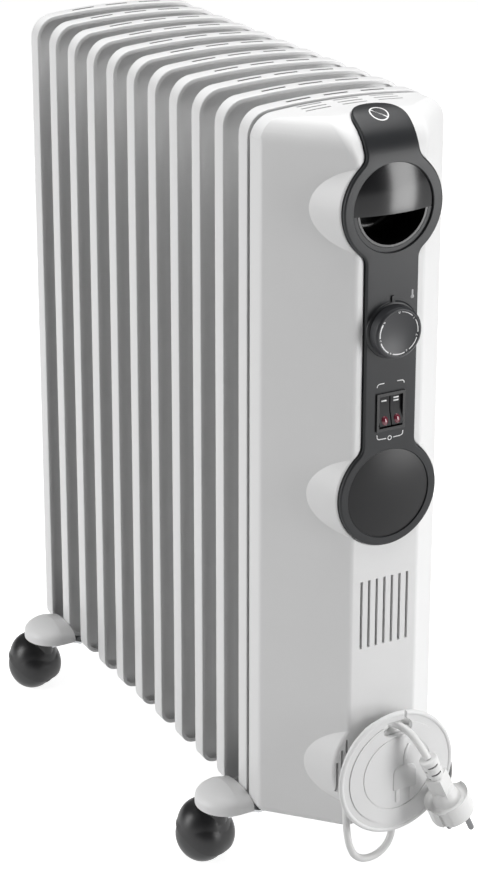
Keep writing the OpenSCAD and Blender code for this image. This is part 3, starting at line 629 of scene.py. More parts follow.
def geometry_tree(name: str, inputs: Sequence[tuple[str, str]]) -> tuple[Tree, dict[str, str]]:
    """Makes a geometry tree with named inputs.

    Args:
        name: name of the tree.
        inputs: name and socket type of each input after the geometry.

    Returns:
        The tree, and the identifier of each input by its name.
    """
    tree = bpy.data.node_groups.new(name, "GeometryNodeTree")
    tree.interface.new_socket("Geometry", in_out="INPUT", socket_type="NodeSocketGeometry")
    ids = {label: tree.interface.new_socket(label, in_out="INPUT", socket_type=kind).identifier
           for label, kind in inputs}
    tree.interface.new_socket("Geometry", in_out="OUTPUT", socket_type="NodeSocketGeometry")
    tree.nodes.new("NodeGroupInput").name = "in"
    tree.nodes.new("NodeGroupOutput").name = "out"
    return tree, ids


def wire(tree: Tree, links: Sequence[tuple[bpy.types.Node, str, bpy.types.Node, str]]) -> None:
    """Links nodes of a tree, each link from a node's output to a node's input."""
    for source, output, target, entry in links:
        tree.links.new(source.outputs[output], target.inputs[entry])


def row_tree(name: str) -> tuple[Tree, dict[str, str]]:
    """A tree that lays copies of a pattern object at even steps on a line.

    Args:
        name: name of the tree.

    Returns:
        The tree, and the identifiers of its inputs by name.
    """
    tree, ids = geometry_tree(name, [
        ("Pattern", "NodeSocketObject"), ("Count", "NodeSocketInt"), ("Start", "NodeSocketVector"),
        ("Step", "NodeSocketVector"), ("Material", "NodeSocketMaterial")])
    start, end = tree.nodes["in"], tree.nodes["out"]
    line, info, put, real, paint = (tree.nodes.new("GeometryNode" + kind) for kind in (
        "MeshLine", "ObjectInfo", "InstanceOnPoints", "RealizeInstances", "SetMaterial"))
    line.mode = "OFFSET"
    wire(tree, (
        (start, "Count", line, "Count"), (start, "Start", line, "Start Location"),
        (start, "Step", line, "Offset"), (start, "Pattern", info, "Object"),
        (line, "Mesh", put, "Points"), (info, "Geometry", put, "Instance"),
        (put, "Instances", real, "Geometry"), (real, "Geometry", paint, "Geometry"),
        (start, "Material", paint, "Material"), (paint, "Geometry", end, "Geometry")))
    return tree, ids


def run_tree(name: str, tree: Tree, ids: dict[str, str], values: dict[str, object],
             angle: float | None) -> Piece:
    """Runs a geometry tree once and keeps its result as a plain mesh piece.

    Args:
        name: name of the finished piece.
        tree: the geometry tree.
        ids: identifiers of its inputs by name.
        values: value of each input by name.
        angle: smooth shading limit in degrees, or None to keep the pattern's shading.

    Returns:
        A plain mesh object at the origin.
    """
    holder = add_object(name + "_maker", bpy.data.meshes.new(name + "_maker"))
    modifier = holder.modifiers.new("maker", "NODES")
    modifier.node_group = tree
    for label, value in values.items():
        modifier[ids[label]] = value
    mesh = run_modifiers(holder)
    mesh.name = name
    bpy.data.objects.remove(holder)
    if angle is not None:
        shade(mesh, angle)
    return add_object(name, mesh)


def lay_row(name: str, pattern: Piece, count: int, start: Point, step: Point, finish: Finish) -> Piece:
    """Lays a row of copies of a pattern and removes the pattern.

    Args:
        name: name of the row.
        pattern: piece that is copied and used up.
        count: number of copies.
        start: place of the first copy, in metres.
        step: step to the next copy, in metres.
        finish: finish of the row.

    Returns:
        The row as one piece.
    """
    tree, ids = row_tree(name + "_row")
    values = {"Pattern": pattern, "Count": count, "Start": start, "Step": step, "Material": finish.material()}
    made = run_tree(name, tree, ids, values, None)
    bpy.data.objects.remove(pattern)
    return made


def path_tree(name: str) -> tuple[Tree, dict[str, str]]:
    """A tree that sweeps a round section along the line of an object.

    Args:
        name: name of the tree.

    Returns:
        The tree, and the identifiers of its inputs by name.
    """
    tree, ids = geometry_tree(name, [
        ("Line", "NodeSocketObject"), ("Radius", "NodeSocketFloat"), ("Sides", "NodeSocketInt"),
        ("Material", "NodeSocketMaterial")])
    start, end = tree.nodes["in"], tree.nodes["out"]
    info, curve, ring, sweep, real, paint = (tree.nodes.new("GeometryNode" + kind) for kind in (
        "ObjectInfo", "MeshToCurve", "CurvePrimitiveCircle", "CurveToMesh", "RealizeInstances",
        "SetMaterial"))
    sweep.inputs["Fill Caps"].default_value = True
    wire(tree, (
        (start, "Line", info, "Object"), (info, "Geometry", curve, "Mesh"),
        (start, "Sides", ring, "Resolution"), (start, "Radius", ring, "Radius"),
        (curve, "Curve", sweep, "Curve"), (ring, "Curve", sweep, "Profile Curve"),
        (sweep, "Mesh", real, "Geometry"), (real, "Geometry", paint, "Geometry"),
        (start, "Material", paint, "Material"), (paint, "Geometry", end, "Geometry")))
    return tree, ids


def sweep_round(name: str, path: Sequence[Point], radius: float, sides: int, finish: Finish) -> Piece:
    """Sweeps a round section along points.

    Args:
        name: name of the piece.
        path: points in millimetres.
        radius: radius of the section in millimetres.
        sides: sides of the section.
        finish: finish of the piece.

    Returns:
        The piece.
    """
    mesh = bpy.data.meshes.new(name + "_line")
    mesh.from_pydata([[c * MM for c in p] for p in path], [(i, i + 1) for i in range(len(path) - 1)], [])
    line = add_object(name + "_line", mesh)
    tree, ids = path_tree(name + "_path")
    made = run_tree(name, tree, ids,
                    {"Line": line, "Radius": radius * MM, "Sides": sides, "Material": finish.material()}, 40)
    bpy.data.objects.remove(line)
    return made


# --- places


def span(node: str) -> tuple[list[float], list[float]]:
    """Lowest and highest corner of a node in millimetres."""
    low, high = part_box(node)
    return [c / MM for c in low], [c / MM for c in high]


@dataclass(frozen=True)
class Layout:
    """Main places of the heater, in millimetres, taken from its solids."""

    fin_x: tuple[float, ...]
    fin_low: float
    fin_top: float
    half_depth: float
    face: float
    front: float
    knob_z: float
    switch_z: float
    badge_z: float
    handle_z: float
    disc_z: float
    disc_front: float

    @classmethod
    def read(cls) -> "Layout":
        """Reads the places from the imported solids.

        Returns:
            The layout.
        """
        second, third = span("fin_02"), span("fin_03")
        middle = (second[0][0] + second[1][0]) / 2
        pitch = third[0][0] - second[0][0]
        centre = lambda node: (span(node)[0][2] + span(node)[1][2]) / 2
        return cls(
            fin_x=tuple(middle + pitch * (i - 1) for i in range(FIN_COUNT)),
            fin_low=second[0][2], fin_top=second[1][2], half_depth=second[1][1],
            face=span("control_housing")[1][0], front=span("control_housing")[1][0] + FASCIA_OUT,
            knob_z=centre("knob"), switch_z=centre("switch_case"), badge_z=centre("badge_disc"),
            handle_z=centre("handle_cup"), disc_z=centre("reel_disc"), disc_front=span("reel_disc")[1][0])


# --- studio


@dataclass
class Lamp:
    """One area lamp, aimed at the middle of the heater."""

    name: str
    place: Point
    size: Pair
    power: float
    aim: Point = (0.0, 0.0, 0.3)

    def build(self) -> None:
        """Adds the lamp to the scene."""
        data = bpy.data.lights.new(self.name, "AREA")
        data.shape = "RECTANGLE"
        data.size, data.size_y = self.size
        data.energy = self.power
        lamp = add_object(self.name, data)
        lamp.location = self.place
        lamp.visible_camera = False
        lamp.rotation_mode = "QUATERNION"
        lamp.rotation_quaternion = (Vector(self.aim) - Vector(self.place)).to_track_quat("-Z", "Y")


@dataclass
class Studio:
    """Camera, lamps, world and floor."""

    camera_place: Point = (1.6364, -0.9062, 1.0636)
    azimuth: float = 61.21
    elevation: float = 17.94
    lens: float = 97.85
    shift: float = -0.2
    sensor: float = 36.0
    clip: Pair = (0.05, 50.0)
    world_light: float = 0.12
    floor_grey: float = 0.5
    floor_roughness: float = 0.9
    floor_specular: float = 0.1
    floor_glow: float = 0.9
    floor_reach: float = 9.0
    floor_steps: int = 24
    lamps: list[Lamp] = field(default_factory=lambda: [
        Lamp("left_box", (-0.55, -2.35, 0.9), (1.0, 1.6), 34.0),
        Lamp("right_box", (1.40, 0.93, 0.55), (0.6, 1.0), 16.0, (0.22, 0.0, 0.5)),
        Lamp("top_box", (0.0, 0.3, 2.2), (1.8, 1.4), 38.0),
    ])

    def build(self) -> None:
        """Makes the camera first, then the lamps, the world and the floor."""
        scene = bpy.context.scene
        data = bpy.data.cameras.new("camera")
        data.lens, data.sensor_width, data.shift_y = self.lens, self.sensor, self.shift
        data.clip_start, data.clip_end = self.clip
        camera = add_object("camera", data)
        a, e = math.radians(self.azimuth), math.radians(self.elevation)
        back = Vector((math.sin(a) * math.cos(e), -math.cos(a) * math.cos(e), math.sin(e)))
        camera.location = self.camera_place
        camera.rotation_mode = "QUATERNION"
        camera.rotation_quaternion = (-back).to_track_quat("-Z", "Y")
        scene.camera = camera
        scene.view_settings.view_transform = "Standard"
        for lamp in self.lamps:
            lamp.build()
        self.light_world()
        self.lay_floor()

    @staticmethod
    def seen_directly(tree: Tree) -> Socket:
        """One for rays from the camera, from a mirror and through glass.

        Args:
            tree: tree to add to.

        Returns:
            Socket of the share, 0 or 1.
        """
        path = tree.nodes.new("ShaderNodeLightPath")
        pair = math_node(tree, "MAXIMUM", path.outputs["Is Camera Ray"], path.outputs["Is Glossy Ray"])
        return math_node(tree, "MAXIMUM", pair, path.outputs["Is Transmission Ray"])

    def light_world(self) -> None:
        """A white surround that lights the object evenly and is seen as white."""
        world = bpy.data.worlds.new("surround")
        bpy.context.scene.world = world
        world.use_nodes = True
        tree = world.node_tree
        tree.nodes.clear()
        light, shown = tree.nodes.new("ShaderNodeBackground"), tree.nodes.new("ShaderNodeBackground")
        light.inputs["Color"].default_value = (1, 1, 1, 1)
        light.inputs["Strength"].default_value = self.world_light
        shown.inputs["Color"].default_value = (1, 1, 1, 1)
        shown.inputs["Strength"].default_value = 1.0
        mix, out = tree.nodes.new("ShaderNodeMixShader"), tree.nodes.new("ShaderNodeOutputWorld")
        path = tree.nodes.new("ShaderNodeLightPath")
        tree.links.new(path.outputs["Is Camera Ray"], mix.inputs[0])
        tree.links.new(light.outputs[0], mix.inputs[1])
        tree.links.new(shown.outputs[0], mix.inputs[2])
        tree.links.new(mix.outputs[0], out.inputs[0])

    def lay_floor(self) -> None:
        """A pale floor that is seen as white away from the object's shadow."""
        size, steps = self.floor_reach, self.floor_steps
        verts = [(-size + 2 * size * i / steps, -size + 2 * size * k / steps, 0.0)
                 for i in range(steps + 1) for k in range(steps + 1)]
        mesh = bpy.data.meshes.new("floor")
        mesh.from_pydata(verts, [], [
            [i * (steps + 1) + k, (i + 1) * (steps + 1) + k, (i + 1) * (steps + 1) + k + 1,
             i * (steps + 1) + k + 1]
            for i in range(steps) for k in range(steps)])
        floor = add_object("floor", mesh)
        made = bpy.data.materials.new("floor_pale")
        made.use_nodes = True
        tree = made.node_tree
        shader = tree.nodes["Principled BSDF"]
        shader.inputs["Base Color"].default_value = (self.floor_grey,) * 3 + (1,)
        shader.inputs["Roughness"].default_value = self.floor_roughness
        shader.inputs["Specular IOR Level"].default_value = self.floor_specular
        glow = tree.nodes.new("ShaderNodeEmission")
        glow.inputs["Color"].default_value = (1, 1, 1, 1)
        glow.inputs["Strength"].default_value = self.floor_glow
        add, mix = tree.nodes.new("ShaderNodeAddShader"), tree.nodes.new("ShaderNodeMixShader")
        tree.links.new(shader.outputs[0], add.inputs[0])
        tree.links.new(glow.outputs[0], add.inputs[1])
        tree.links.new(self.seen_directly(tree), mix.inputs[0])
        tree.links.new(shader.outputs[0], mix.inputs[1])
        tree.links.new(add.outputs[0], mix.inputs[2])
        tree.links.new(mix.outputs[0], tree.nodes["Material Output"].inputs[0])
        mesh.materials.append(made)


# --- fins


@dataclass
class FinStack:
    """Eleven pressed steel fins with folded rims, joined by round collars."""

    place: Layout
    rim_w: float = 13.4
    rim_t: float = 1.2
    hem: float = 3.0
    edge_r: float = 0.9
    arch_r: float = 600.0
    top_r: float = 20.0
    low_r: float = 12.0
    slit_l: float = 21.0
    slit_w: float = 3.0
    slit_y: tuple[float, ...] = (-32.5, 0.0, 32.5)
    column_y: tuple[float, ...] = (-46.0, 0.0, 46.0)
    column_a: float = 25.5
    channel_h: float = 5.9
    cross_a: float = 17.0
    cross_h: float = 6.4
    neck_r: float = 21.0
    neck_h: float = 8.4
    rear_neck_h: float = 6.4
    header_off: float = 48.0
    blend: float = 5.0
    column_end: float = 22.0
    column_fade: float = 30.0
    cross_half: float = 60.0
    cross_fade: float = 12.0
    neck_r: float = 30.0
    neck_fade: float = 9.0
    collar_gap: float = 0.3
    web_t: float = 1.8

    def build(self) -> None:
        """Builds the fins and the collars."""
        nodes = [f"fin_{i + 1:02d}" for i in range(FIN_COUNT)]
        last = len(nodes) - 1
        settle(self.fin("fin_rear", self.place.fin_x[0], self.rear_neck_h, self.neck_h), Body.HEATER,
               Slot.ENAMEL, nodes[0])
        pitch = (self.place.fin_x[1] - self.place.fin_x[0]) * MM
        pattern = self.fin("fin_pattern", 0.0, self.neck_h, self.neck_h)
        row = lay_row("fins_middle", pattern, last - 1, (self.place.fin_x[1] * MM, 0, 0), (pitch, 0, 0),
                      ENAMEL)
        settle(row, Body.HEATER, Slot.ENAMEL, *nodes[1:last])
        settle(self.fin("fin_front", self.place.fin_x[last], self.neck_h, self.neck_h), Body.HEATER,
               Slot.ENAMEL, nodes[last])
        settle(self.collars(pitch), Body.HEATER, Slot.ENAMEL, "header_collars")
        # Painted shade: dark sheets just under each fin's top slits, where only shade falls.
        shade = self.slit_floor("slit_floor")
        settle(lay_row("slit_floors", shade, last + 1, (self.place.fin_x[0] * MM, 0, 0), (pitch, 0, 0),
                       PAINTED_SHADE), Body.HEATER, Slot.ENAMEL)

    def slit_floor(self, name: str) -> Piece:
        """Painted shade: dark sheets just under one fin's slits, standing for the shade inside them.

        Args:
            name: name of the piece.

        Returns:
            The piece.
        """
        half, steps = self.slit_w / 2 - 0.04, 6
        z_arch = self.place.fin_top - self.arch_r
        parts = []
        for c in self.slit_y:
            rings = []
            for i in range(steps + 1):
                y = c + (self.slit_l - 0.1) * (i / steps - 0.5)
                z = z_arch + math.sqrt(self.arch_r ** 2 - y * y)
                rings.append([(-half, y, z - 1.15), (-half, y, z - 0.18), (half, y, z - 0.18),
                              (half, y, z - 1.15)])
            parts.append(solid(name, rings, PAINTED_SHADE))
        return join(name, parts)

    def outline(self) -> list[EdgePoint]:
        """Points of the outer edge with their outward normals.

        Returns:
            (y, z, ny, nz) of each point, once round.
        """
        p, hw = self.place, self.place.half_depth
        right: list[EdgePoint] = [(y, p.fin_low, 0.0, -1.0) for y in (0.0, 24.0, 48.0)]
        right += arc_edge(hw - self.low_r, p.fin_low + self.low_r, self.low_r, -90, 0, 7)
        dy = hw - self.top_r
        z_arch = p.fin_top - self.arch_r
        z_c = z_arch + math.sqrt((self.arch_r - self.top_r) ** 2 - dy * dy)
        lean = math.degrees(math.atan2(z_c - z_arch, dy))
        right += [(hw, z, 1.0, 0.0) for z in (150.0, 250.0, 350.0, 450.0, 540.0)]
        right += arc_edge(dy, z_c, self.top_r, 0, lean, 9)
        ends = {abs(s + e) for s in self.slit_y for e in (-self.slit_l / 2, self.slit_l / 2)}
        for y in sorted(ends | {32.5, 52.0, 5.0}, reverse=True):
            a = math.acos(y / self.arch_r)
            right.append((y, z_arch + self.arch_r * math.sin(a), math.cos(a), math.sin(a)))
        right.append((0.0, p.fin_top, 0.0, 1.0))
        return right + [(-y, z, -ny, nz) for y, z, ny, nz in right[-2:0:-1]]

    def rim(self, x0: float) -> Shape:
        """The folded rim: a C section carried round the outline, with slits in the top.

        Args:
            x0: plane of the fin's middle.

        Returns:
            Points and faces.
        """
        w, t, e, s = self.rim_w / 2, self.rim_t, self.edge_r, self.slit_w / 2
        outer = [(-w, self.hem)] + [(x, g) for x, g in arc(-w + e, e, e, 180, 270, 4)] + [(-s, 0.0)]
        outer = outer + [(-x, g) for x, g in reversed(outer)]
        inner = [(w - t / 2, self.hem + 0.4), (w - t, self.hem), (w - t, t + 0.5), (w - t - 0.5, t), (s, t)]
        inner = inner + [(-x, g) for x, g in reversed(inner)]
        profile = outer + inner
        n = len(profile)
        cut = {(len(outer) // 2 - 1), len(outer) + len(inner) // 2 - 1}
        line = self.outline()
        verts = [(x0 + x, y - ny * g, z - nz * g) for y, z, ny, nz in line for x, g in profile]
        low, high = self.place.fin_top - 40, self.slit_l / 2 + 0.01
        slit = [all(line[j][1] > low and any(abs(line[j][0] - c) < high for c in self.slit_y)
                    for j in (i, (i + 1) % len(line)))
                and any(abs((line[i][0] + line[(i + 1) % len(line)][0]) / 2 - c) < high for c in self.slit_y)
                for i in range(len(line))]
        faces: Faces = []
        a, b = len(outer) // 2 - 1, len(outer) // 2
        c, d = len(outer) + len(inner) // 2 - 1, len(outer) + len(inner) // 2
        for i in range(len(line)):
            j = (i + 1) % len(line)
            for k in range(n):
                if not (slit[i] and k in cut):
                    faces.append([i * n + k, i * n + (k + 1) % n, j * n + (k + 1) % n, j * n + k])
            if slit[i]:
                faces += [[i * n + a, j * n + a, j * n + d, i * n + d],
                          [i * n + b, i * n + c, j * n + c, j * n + b]]
            if slit[i] != slit[i - 1]:
                faces.append([i * n + a, i * n + b, i * n + c, i * n + d])
        return verts, faces

    def height(self, y: float, z: float, neck: float) -> float:
        """Half thickness of the pressed body at one point of its face.

        Args:
            y: place across.
            z: place up.
            neck: height of the header necks on this face.

        Returns:
            Distance from the middle plane.
        """
        p = self.place
        power = self.blend

        total = (self.web_t / 2) ** power
        ends = min(z - p.fin_low - self.column_end, p.fin_top - self.column_end - z)
        for c in self.column_y:
            u = abs(y - c) / self.column_a
            if u < 1 and ends > 0:
                total += (self.channel_h * (1 - u ** 3) ** 1.2 * smoothstep(ends / self.column_fade)) ** power
        for zc in (p.fin_low + self.header_off, p.fin_top - self.header_off):
            u = abs(z - zc) / self.cross_a
            side = smoothstep((self.cross_half - abs(y)) / self.cross_fade)
            if u < 1:
                total += (self.cross_h * (1 - u * u) * side) ** power
            r = math.hypot(y, z - zc)
            total += (neck * smoothstep((self.neck_r - r) / self.neck_fade)) ** power
        return total ** (1 / power)

    def fin(self, name: str, x0: float, neck_back: float, neck_front: float) -> Piece:
        """One fin about the plane at x0, with header necks of the given heights.

        Args:
            name: name of the piece.
            x0: plane of the fin's middle.
            neck_back: height of the necks on the back.
            neck_front: height of the necks on the front.

        Returns:
            The piece.
        """
        p, hw = self.place, self.place.half_depth - self.edge_r
        verts, faces = self.rim(x0)
        ys = sorted({s * v for s in (-1, 1) for v in (
            0, 4, 8, 11, 14, 17, 20, 22.5, 24.5, 27, 30, 34, 38, 42, 46, 50, 54, 58, 61.5, 64.5, 67.5, 70,
            72.5, 75, 77, 78.4, hw)})
        shares = sorted({s for zc in (self.header_off, p.fin_top - p.fin_low - self.header_off) for s in (
            zc - 26, zc - 22, zc - 17, zc - 13, zc - 9, zc - 4.5, zc, zc + 4.5, zc + 9, zc + 13, zc + 17,
            zc + 20, zc + 23, zc + 27, zc + 30, zc + 34)}
            | {0.0, 9.0, 16.0, 28.0, 130.0, 210.0, 291.0, 370.0, 450.0, 575.0, 582.0} | {500.0, 562.0, 568.0})
        whole = p.fin_top - p.fin_low
        base = len(verts)
        for side, neck in ((-1, neck_back), (1, neck_front)):
            for y in ys:
                low, high = self.ends(y)
                for s in shares:
                    z = low + (high - low) * s / whole
                    verts.append((x0 + side * self.height(y, z, neck), y, z))
        rows, cols = len(ys), len(shares)
        for side in (0, 1):
            faces += grid_faces(base + side * rows * cols, rows, cols, side == 1)
        ring = [i * cols for i in range(rows)] + [(rows - 1) * cols + k for k in range(1, cols)]
        ring += [i * cols + cols - 1 for i in range(rows - 2, -1, -1)] + [k for k in range(cols - 2, 0, -1)]
        other = rows * cols
        for i, here in enumerate(ring):
            there = ring[(i + 1) % len(ring)]
            faces.append([base + here, base + there, base + other + there, base + other + here])
        return make_piece(name, verts, faces, ENAMEL, 38)

    def ends(self, y: float) -> Pair:
        """Lowest and highest z of the web at a given y.

        Args:
            y: place across.

        Returns:
            The lowest and the highest z.
        """
        p, inset = self.place, self.edge_r
        hw = p.half_depth
        y = min(abs(y), hw - inset)
        low = p.fin_low + inset
        dy = y - (hw - self.low_r)
        if dy > 0:
            r = self.low_r - inset
            low = p.fin_low + self.low_r - math.sqrt(max(r * r - dy * dy, 0.0))
        z_arch = p.fin_top - self.arch_r
        cy = hw - self.top_r
        z_c = z_arch + math.sqrt((self.arch_r - self.top_r) ** 2 - cy * cy)
        if y > cy:
            r = self.top_r - inset
            return low, z_c + math.sqrt(max(r * r - (y - cy) ** 2, 0.0))
        deep = 4.6 if any(abs(y - abs(c)) < self.slit_l / 2 + 0.1 for c in self.slit_y) else inset
        return low, z_arch + math.sqrt((self.arch_r - deep) ** 2 - y * y)

    def collars(self, pitch: float) -> Piece:
        """Two header collars with weld beads, repeated between all the fins.

        Args:
            pitch: step from fin to fin, in metres.

        Returns:
            The piece.
        """
        verts: list[Point] = []
        faces: Faces = []
        l = pitch / MM - 2 * self.neck_h - 2 * self.collar_gap
        half = [(13.0, 0.0), (18.6, 0.0), (19.0, 0.5), (18.8, 1.3), (18.0, 2.0)]
        profile = half + [(r, l - h) for r, h in reversed(half)]
        for z in (self.place.fin_low + self.header_off, self.place.fin_top - self.header_off):
            v, f = revolve(profile + [profile[0]], 48, about_x(0, 0, z))
            faces += [[k + len(verts) for k in q] for q in f]
            verts += v
        pattern = make_piece("collar_pattern", verts, faces, ENAMEL, 40)
        start = ((self.place.fin_x[0] + self.neck_h + self.collar_gap) * MM, 0, 0)
        return lay_row("collars", pattern, FIN_COUNT - 1, start, (pitch, 0, 0), ENAMEL)


# --- flat marks


def plate(name: str, outline: Sequence[Pair], thick: float, place: Placing, finish: Finish) -> Piece:
    """A thin plate with the given outline, from height 0 to its thickness, with a small chamfer.

    Args:
        name: name of the piece.
        outline: (across, up) points in millimetres.
        thick: thickness in millimetres.
        place: maps (across, up, out) to the row frame.
        finish: finish of the plate.

    Returns:
        The piece.
    """
    area = sum(a[0] * b[1] - b[0] * a[1] for a, b in zip(outline, list(outline[1:]) + [outline[0]]))
    ring = list(outline) if area > 0 else list(reversed(outline))
    n = len(ring)
    inset = thick * 0.5
    inner: list[Pair] = []
    for i in range(n):
        a, b, c = Vector(ring[i - 1]), Vector(ring[i]), Vector(ring[(i + 1) % n])
        u, v = (b - a).normalized(), (c - b).normalized()
        normal = Vector((-(u.y + v.y), u.x + v.x))
        normal = normal.normalized() if normal.length > 1e-6 else Vector((-u.y, u.x))
        spot = b + normal * inset
        inner.append((spot.x, spot.y))
    verts = [place(u, v, h) for h in (0.0, thick * 0.6) for u, v in ring]
    verts += [place(u, v, thick) for u, v in inner]
    faces = [[k, (k + 1) % n, n + (k + 1) % n, n + k] for k in range(n)]
    faces += [[n + k, n + (k + 1) % n, 2 * n + (k + 1) % n, 2 * n + k] for k in range(n)]
    faces += [list(range(n - 1, -1, -1)), list(range(2 * n, 3 * n))]
    return make_piece(name, verts, faces, finish, 50)


def stroke(path: Sequence[Pair], width: Callable[[float], float]) -> list[Pair]:
    """Outline of a line of changing width with rounded ends, along a path of points.

    Args:
        path: (across, up) points in millimetres.
        width: width of the line at a share of its length, from 0 to 1.

    Returns:
        Points of the outline.
    """
    left: list[Pair] = []
    right: list[Pair] = []
    last = len(path) - 1
    for i, (u, v) in enumerate(path):
        a, b = Vector(path[max(i - 1, 0)]), Vector(path[min(i + 1, last)])
        d = (b - a).normalized()
        h = width(i / last) / 2
        left.append((u - d.y * h, v + d.x * h))
        right.append((u + d.y * h, v - d.x * h))
    def cap(spot: Pair, first: Pair, h: float) -> list[Pair]:
        """Points of one rounded end."""
        a0 = math.degrees(math.atan2(first[1] - spot[1], first[0] - spot[0]))
        return arc(spot[0], spot[1], h, a0 - 30, a0 - 150, 4)
    far, near = cap(path[-1], left[-1], width(1.0) / 2), cap(path[0], right[0], width(0.0) / 2)
    return left + far + right[::-1] + near


def lettering(name: str, text: str, size: float, thick: float, finish: Finish, place: Placing,
              turn: float = 0.0) -> Piece:
    """A number or sign as a thin mesh, centred on the placement's own middle.

    Args:
        name: name of the piece.
        text: what is printed.
        size: height of the type in millimetres.
        thick: thickness of the ink in millimetres.
        finish: finish of the ink.
        place: maps (across, up, out) in millimetres to the row frame.
        turn: degrees that the sign is turned through, clockwise.

    Returns:
        The mesh piece.
    """
    curve = bpy.data.curves.new(name, "FONT")
    curve.body = text
    curve.size = size
    curve.align_x, curve.align_y = "CENTER", "CENTER"
    curve.extrude = thick / 2
    curve.resolution_u = 3
    holder = add_object(name + "_type", curve)
    mesh = run_modifiers(holder)
    bpy.data.objects.remove(holder)
    spin = Matrix.Rotation(math.radians(-turn), 3, "Z")
    middle = sum((Vector(v.co) for v in mesh.vertices), Vector()) / max(1, len(mesh.vertices))
    for vert in mesh.vertices:
        spot = spin @ (vert.co - Vector((middle.x, middle.y, 0)))
        vert.co = [c * MM for c in place(spot.x, spot.y, spot.z + thick / 2)]
    mesh.name = name
    return finish_mesh(name, mesh, finish, 40)


def join(name: str, parts: Sequence[Piece]) -> Piece:
    """Joins mesh pieces into one and gives it a name.

    Args:
        name: name of the joined piece.
        parts: pieces that are used up.

    Returns:
        The joined piece, with the finishes of its parts.
    """
    work = bmesh.new()
    materials: list[bpy.types.Material] = []
    for part in parts:
        offset = len(materials)
        before = len(work.faces)
        work.from_mesh(part.data)
        work.faces.ensure_lookup_table()
        for face in work.faces[before:]:
            face.material_index += offset
        materials += list(part.data.materials)
    mesh = bpy.data.meshes.new(name)
    work.to_mesh(mesh)
    work.free()
    for material in dict.fromkeys(materials):
        mesh.materials.append(material)
    index = {m: i for i, m in enumerate(dict.fromkeys(materials))}
    for face in mesh.polygons:
        face.material_index = index[materials[face.material_index]]
    for part in parts:
        bpy.data.objects.remove(part)
    return add_object(name, mesh)


# --- control housing


def solid(name: str, rings: Sequence[Sequence[Point]], finish: Finish) -> Piece:
    """A closed piece skinned through rings of points in millimetres.

    Args:
        name: name of the piece.
        rings: rings of points, with the same count in each.
        finish: finish of the piece.

    Returns:
        The piece.
    """
    count = len(rings[0])
    faces = ring_faces(len(rings), count)
    faces += [list(range(count - 1, -1, -1)), [(len(rings) - 1) * count + k for k in range(count)]]
    return make_piece(name, [p for ring in rings for p in ring], faces, finish)


def turned(name: str, profile: Sequence[Pair], steps: int, place: Placing, finish: Finish,
           angle: float = 30.0) -> Piece:
    """A piece turned from a profile of (radius, height) pairs."""
    verts, faces = revolve(profile, steps, place)
    return make_piece(name, verts, faces, finish, angle)


def block(name: str, low: Point, high: Point) -> Piece:
    """A cutting block between two corners."""
    ring = [(low[0], low[1]), (high[0], low[1]), (high[0], high[1]), (low[0], high[1])]
    return solid(name, [[(x, y, z) for x, y in ring] for z in (low[2], high[2])], PAINTED_SHADE)


def combine(piece: Piece, other: Piece, operation: str, angle: float) -> None:
    """Joins, cuts or intersects a piece with another, which is used up.

    Args:
        piece: the piece that changes.
        other: the piece that is used up.
        operation: UNION, DIFFERENCE or INTERSECT.
        angle: smooth shading limit of the result in degrees.
    """
    change = piece.modifiers.new("change", "BOOLEAN")
    change.operation, change.solver, change.object = operation, "EXACT", other
    mesh = run_modifiers(piece)
    piece.modifiers.clear()
    mesh.name = piece.name
    keep = piece.data.materials[0]
    piece.data = mesh
    mesh.materials.clear()
    mesh.materials.append(keep)
    for face in mesh.polygons:
        face.material_index = 0
    bpy.data.objects.remove(other)
    shade(mesh, angle)


def rounded(a: Pair, b: Pair, c: Pair, r: float, n: int) -> list[Pair]:
    """Corner b of a polygon, rounded with radius r in n steps.

    Args:
        a: corner before.
        b: corner that is rounded.
        c: corner after.
        r: radius.
        n: number of steps.

    Returns:
        Points from the first side to the second.
    """
    start, mid, end = Vector(a), Vector(b), Vector(c)
    u, v = (start - mid).normalized(), (end - mid).normalized()
    half = math.acos(max(-1.0, min(1.0, u.dot(v)))) / 2
    centre = mid + (u + v).normalized() * r / math.sin(half)
    p, q = mid + u * r / math.tan(half) - centre, mid + v * r / math.tan(half) - centre
    a0 = math.atan2(p.y, p.x)
    d = (math.atan2(q.y, q.x) - a0 + math.pi) % (2 * math.pi) - math.pi
    return [(centre.x + r * math.cos(a0 + d * i / n), centre.y + r * math.sin(a0 + d * i / n))
            for i in range(n + 1)]


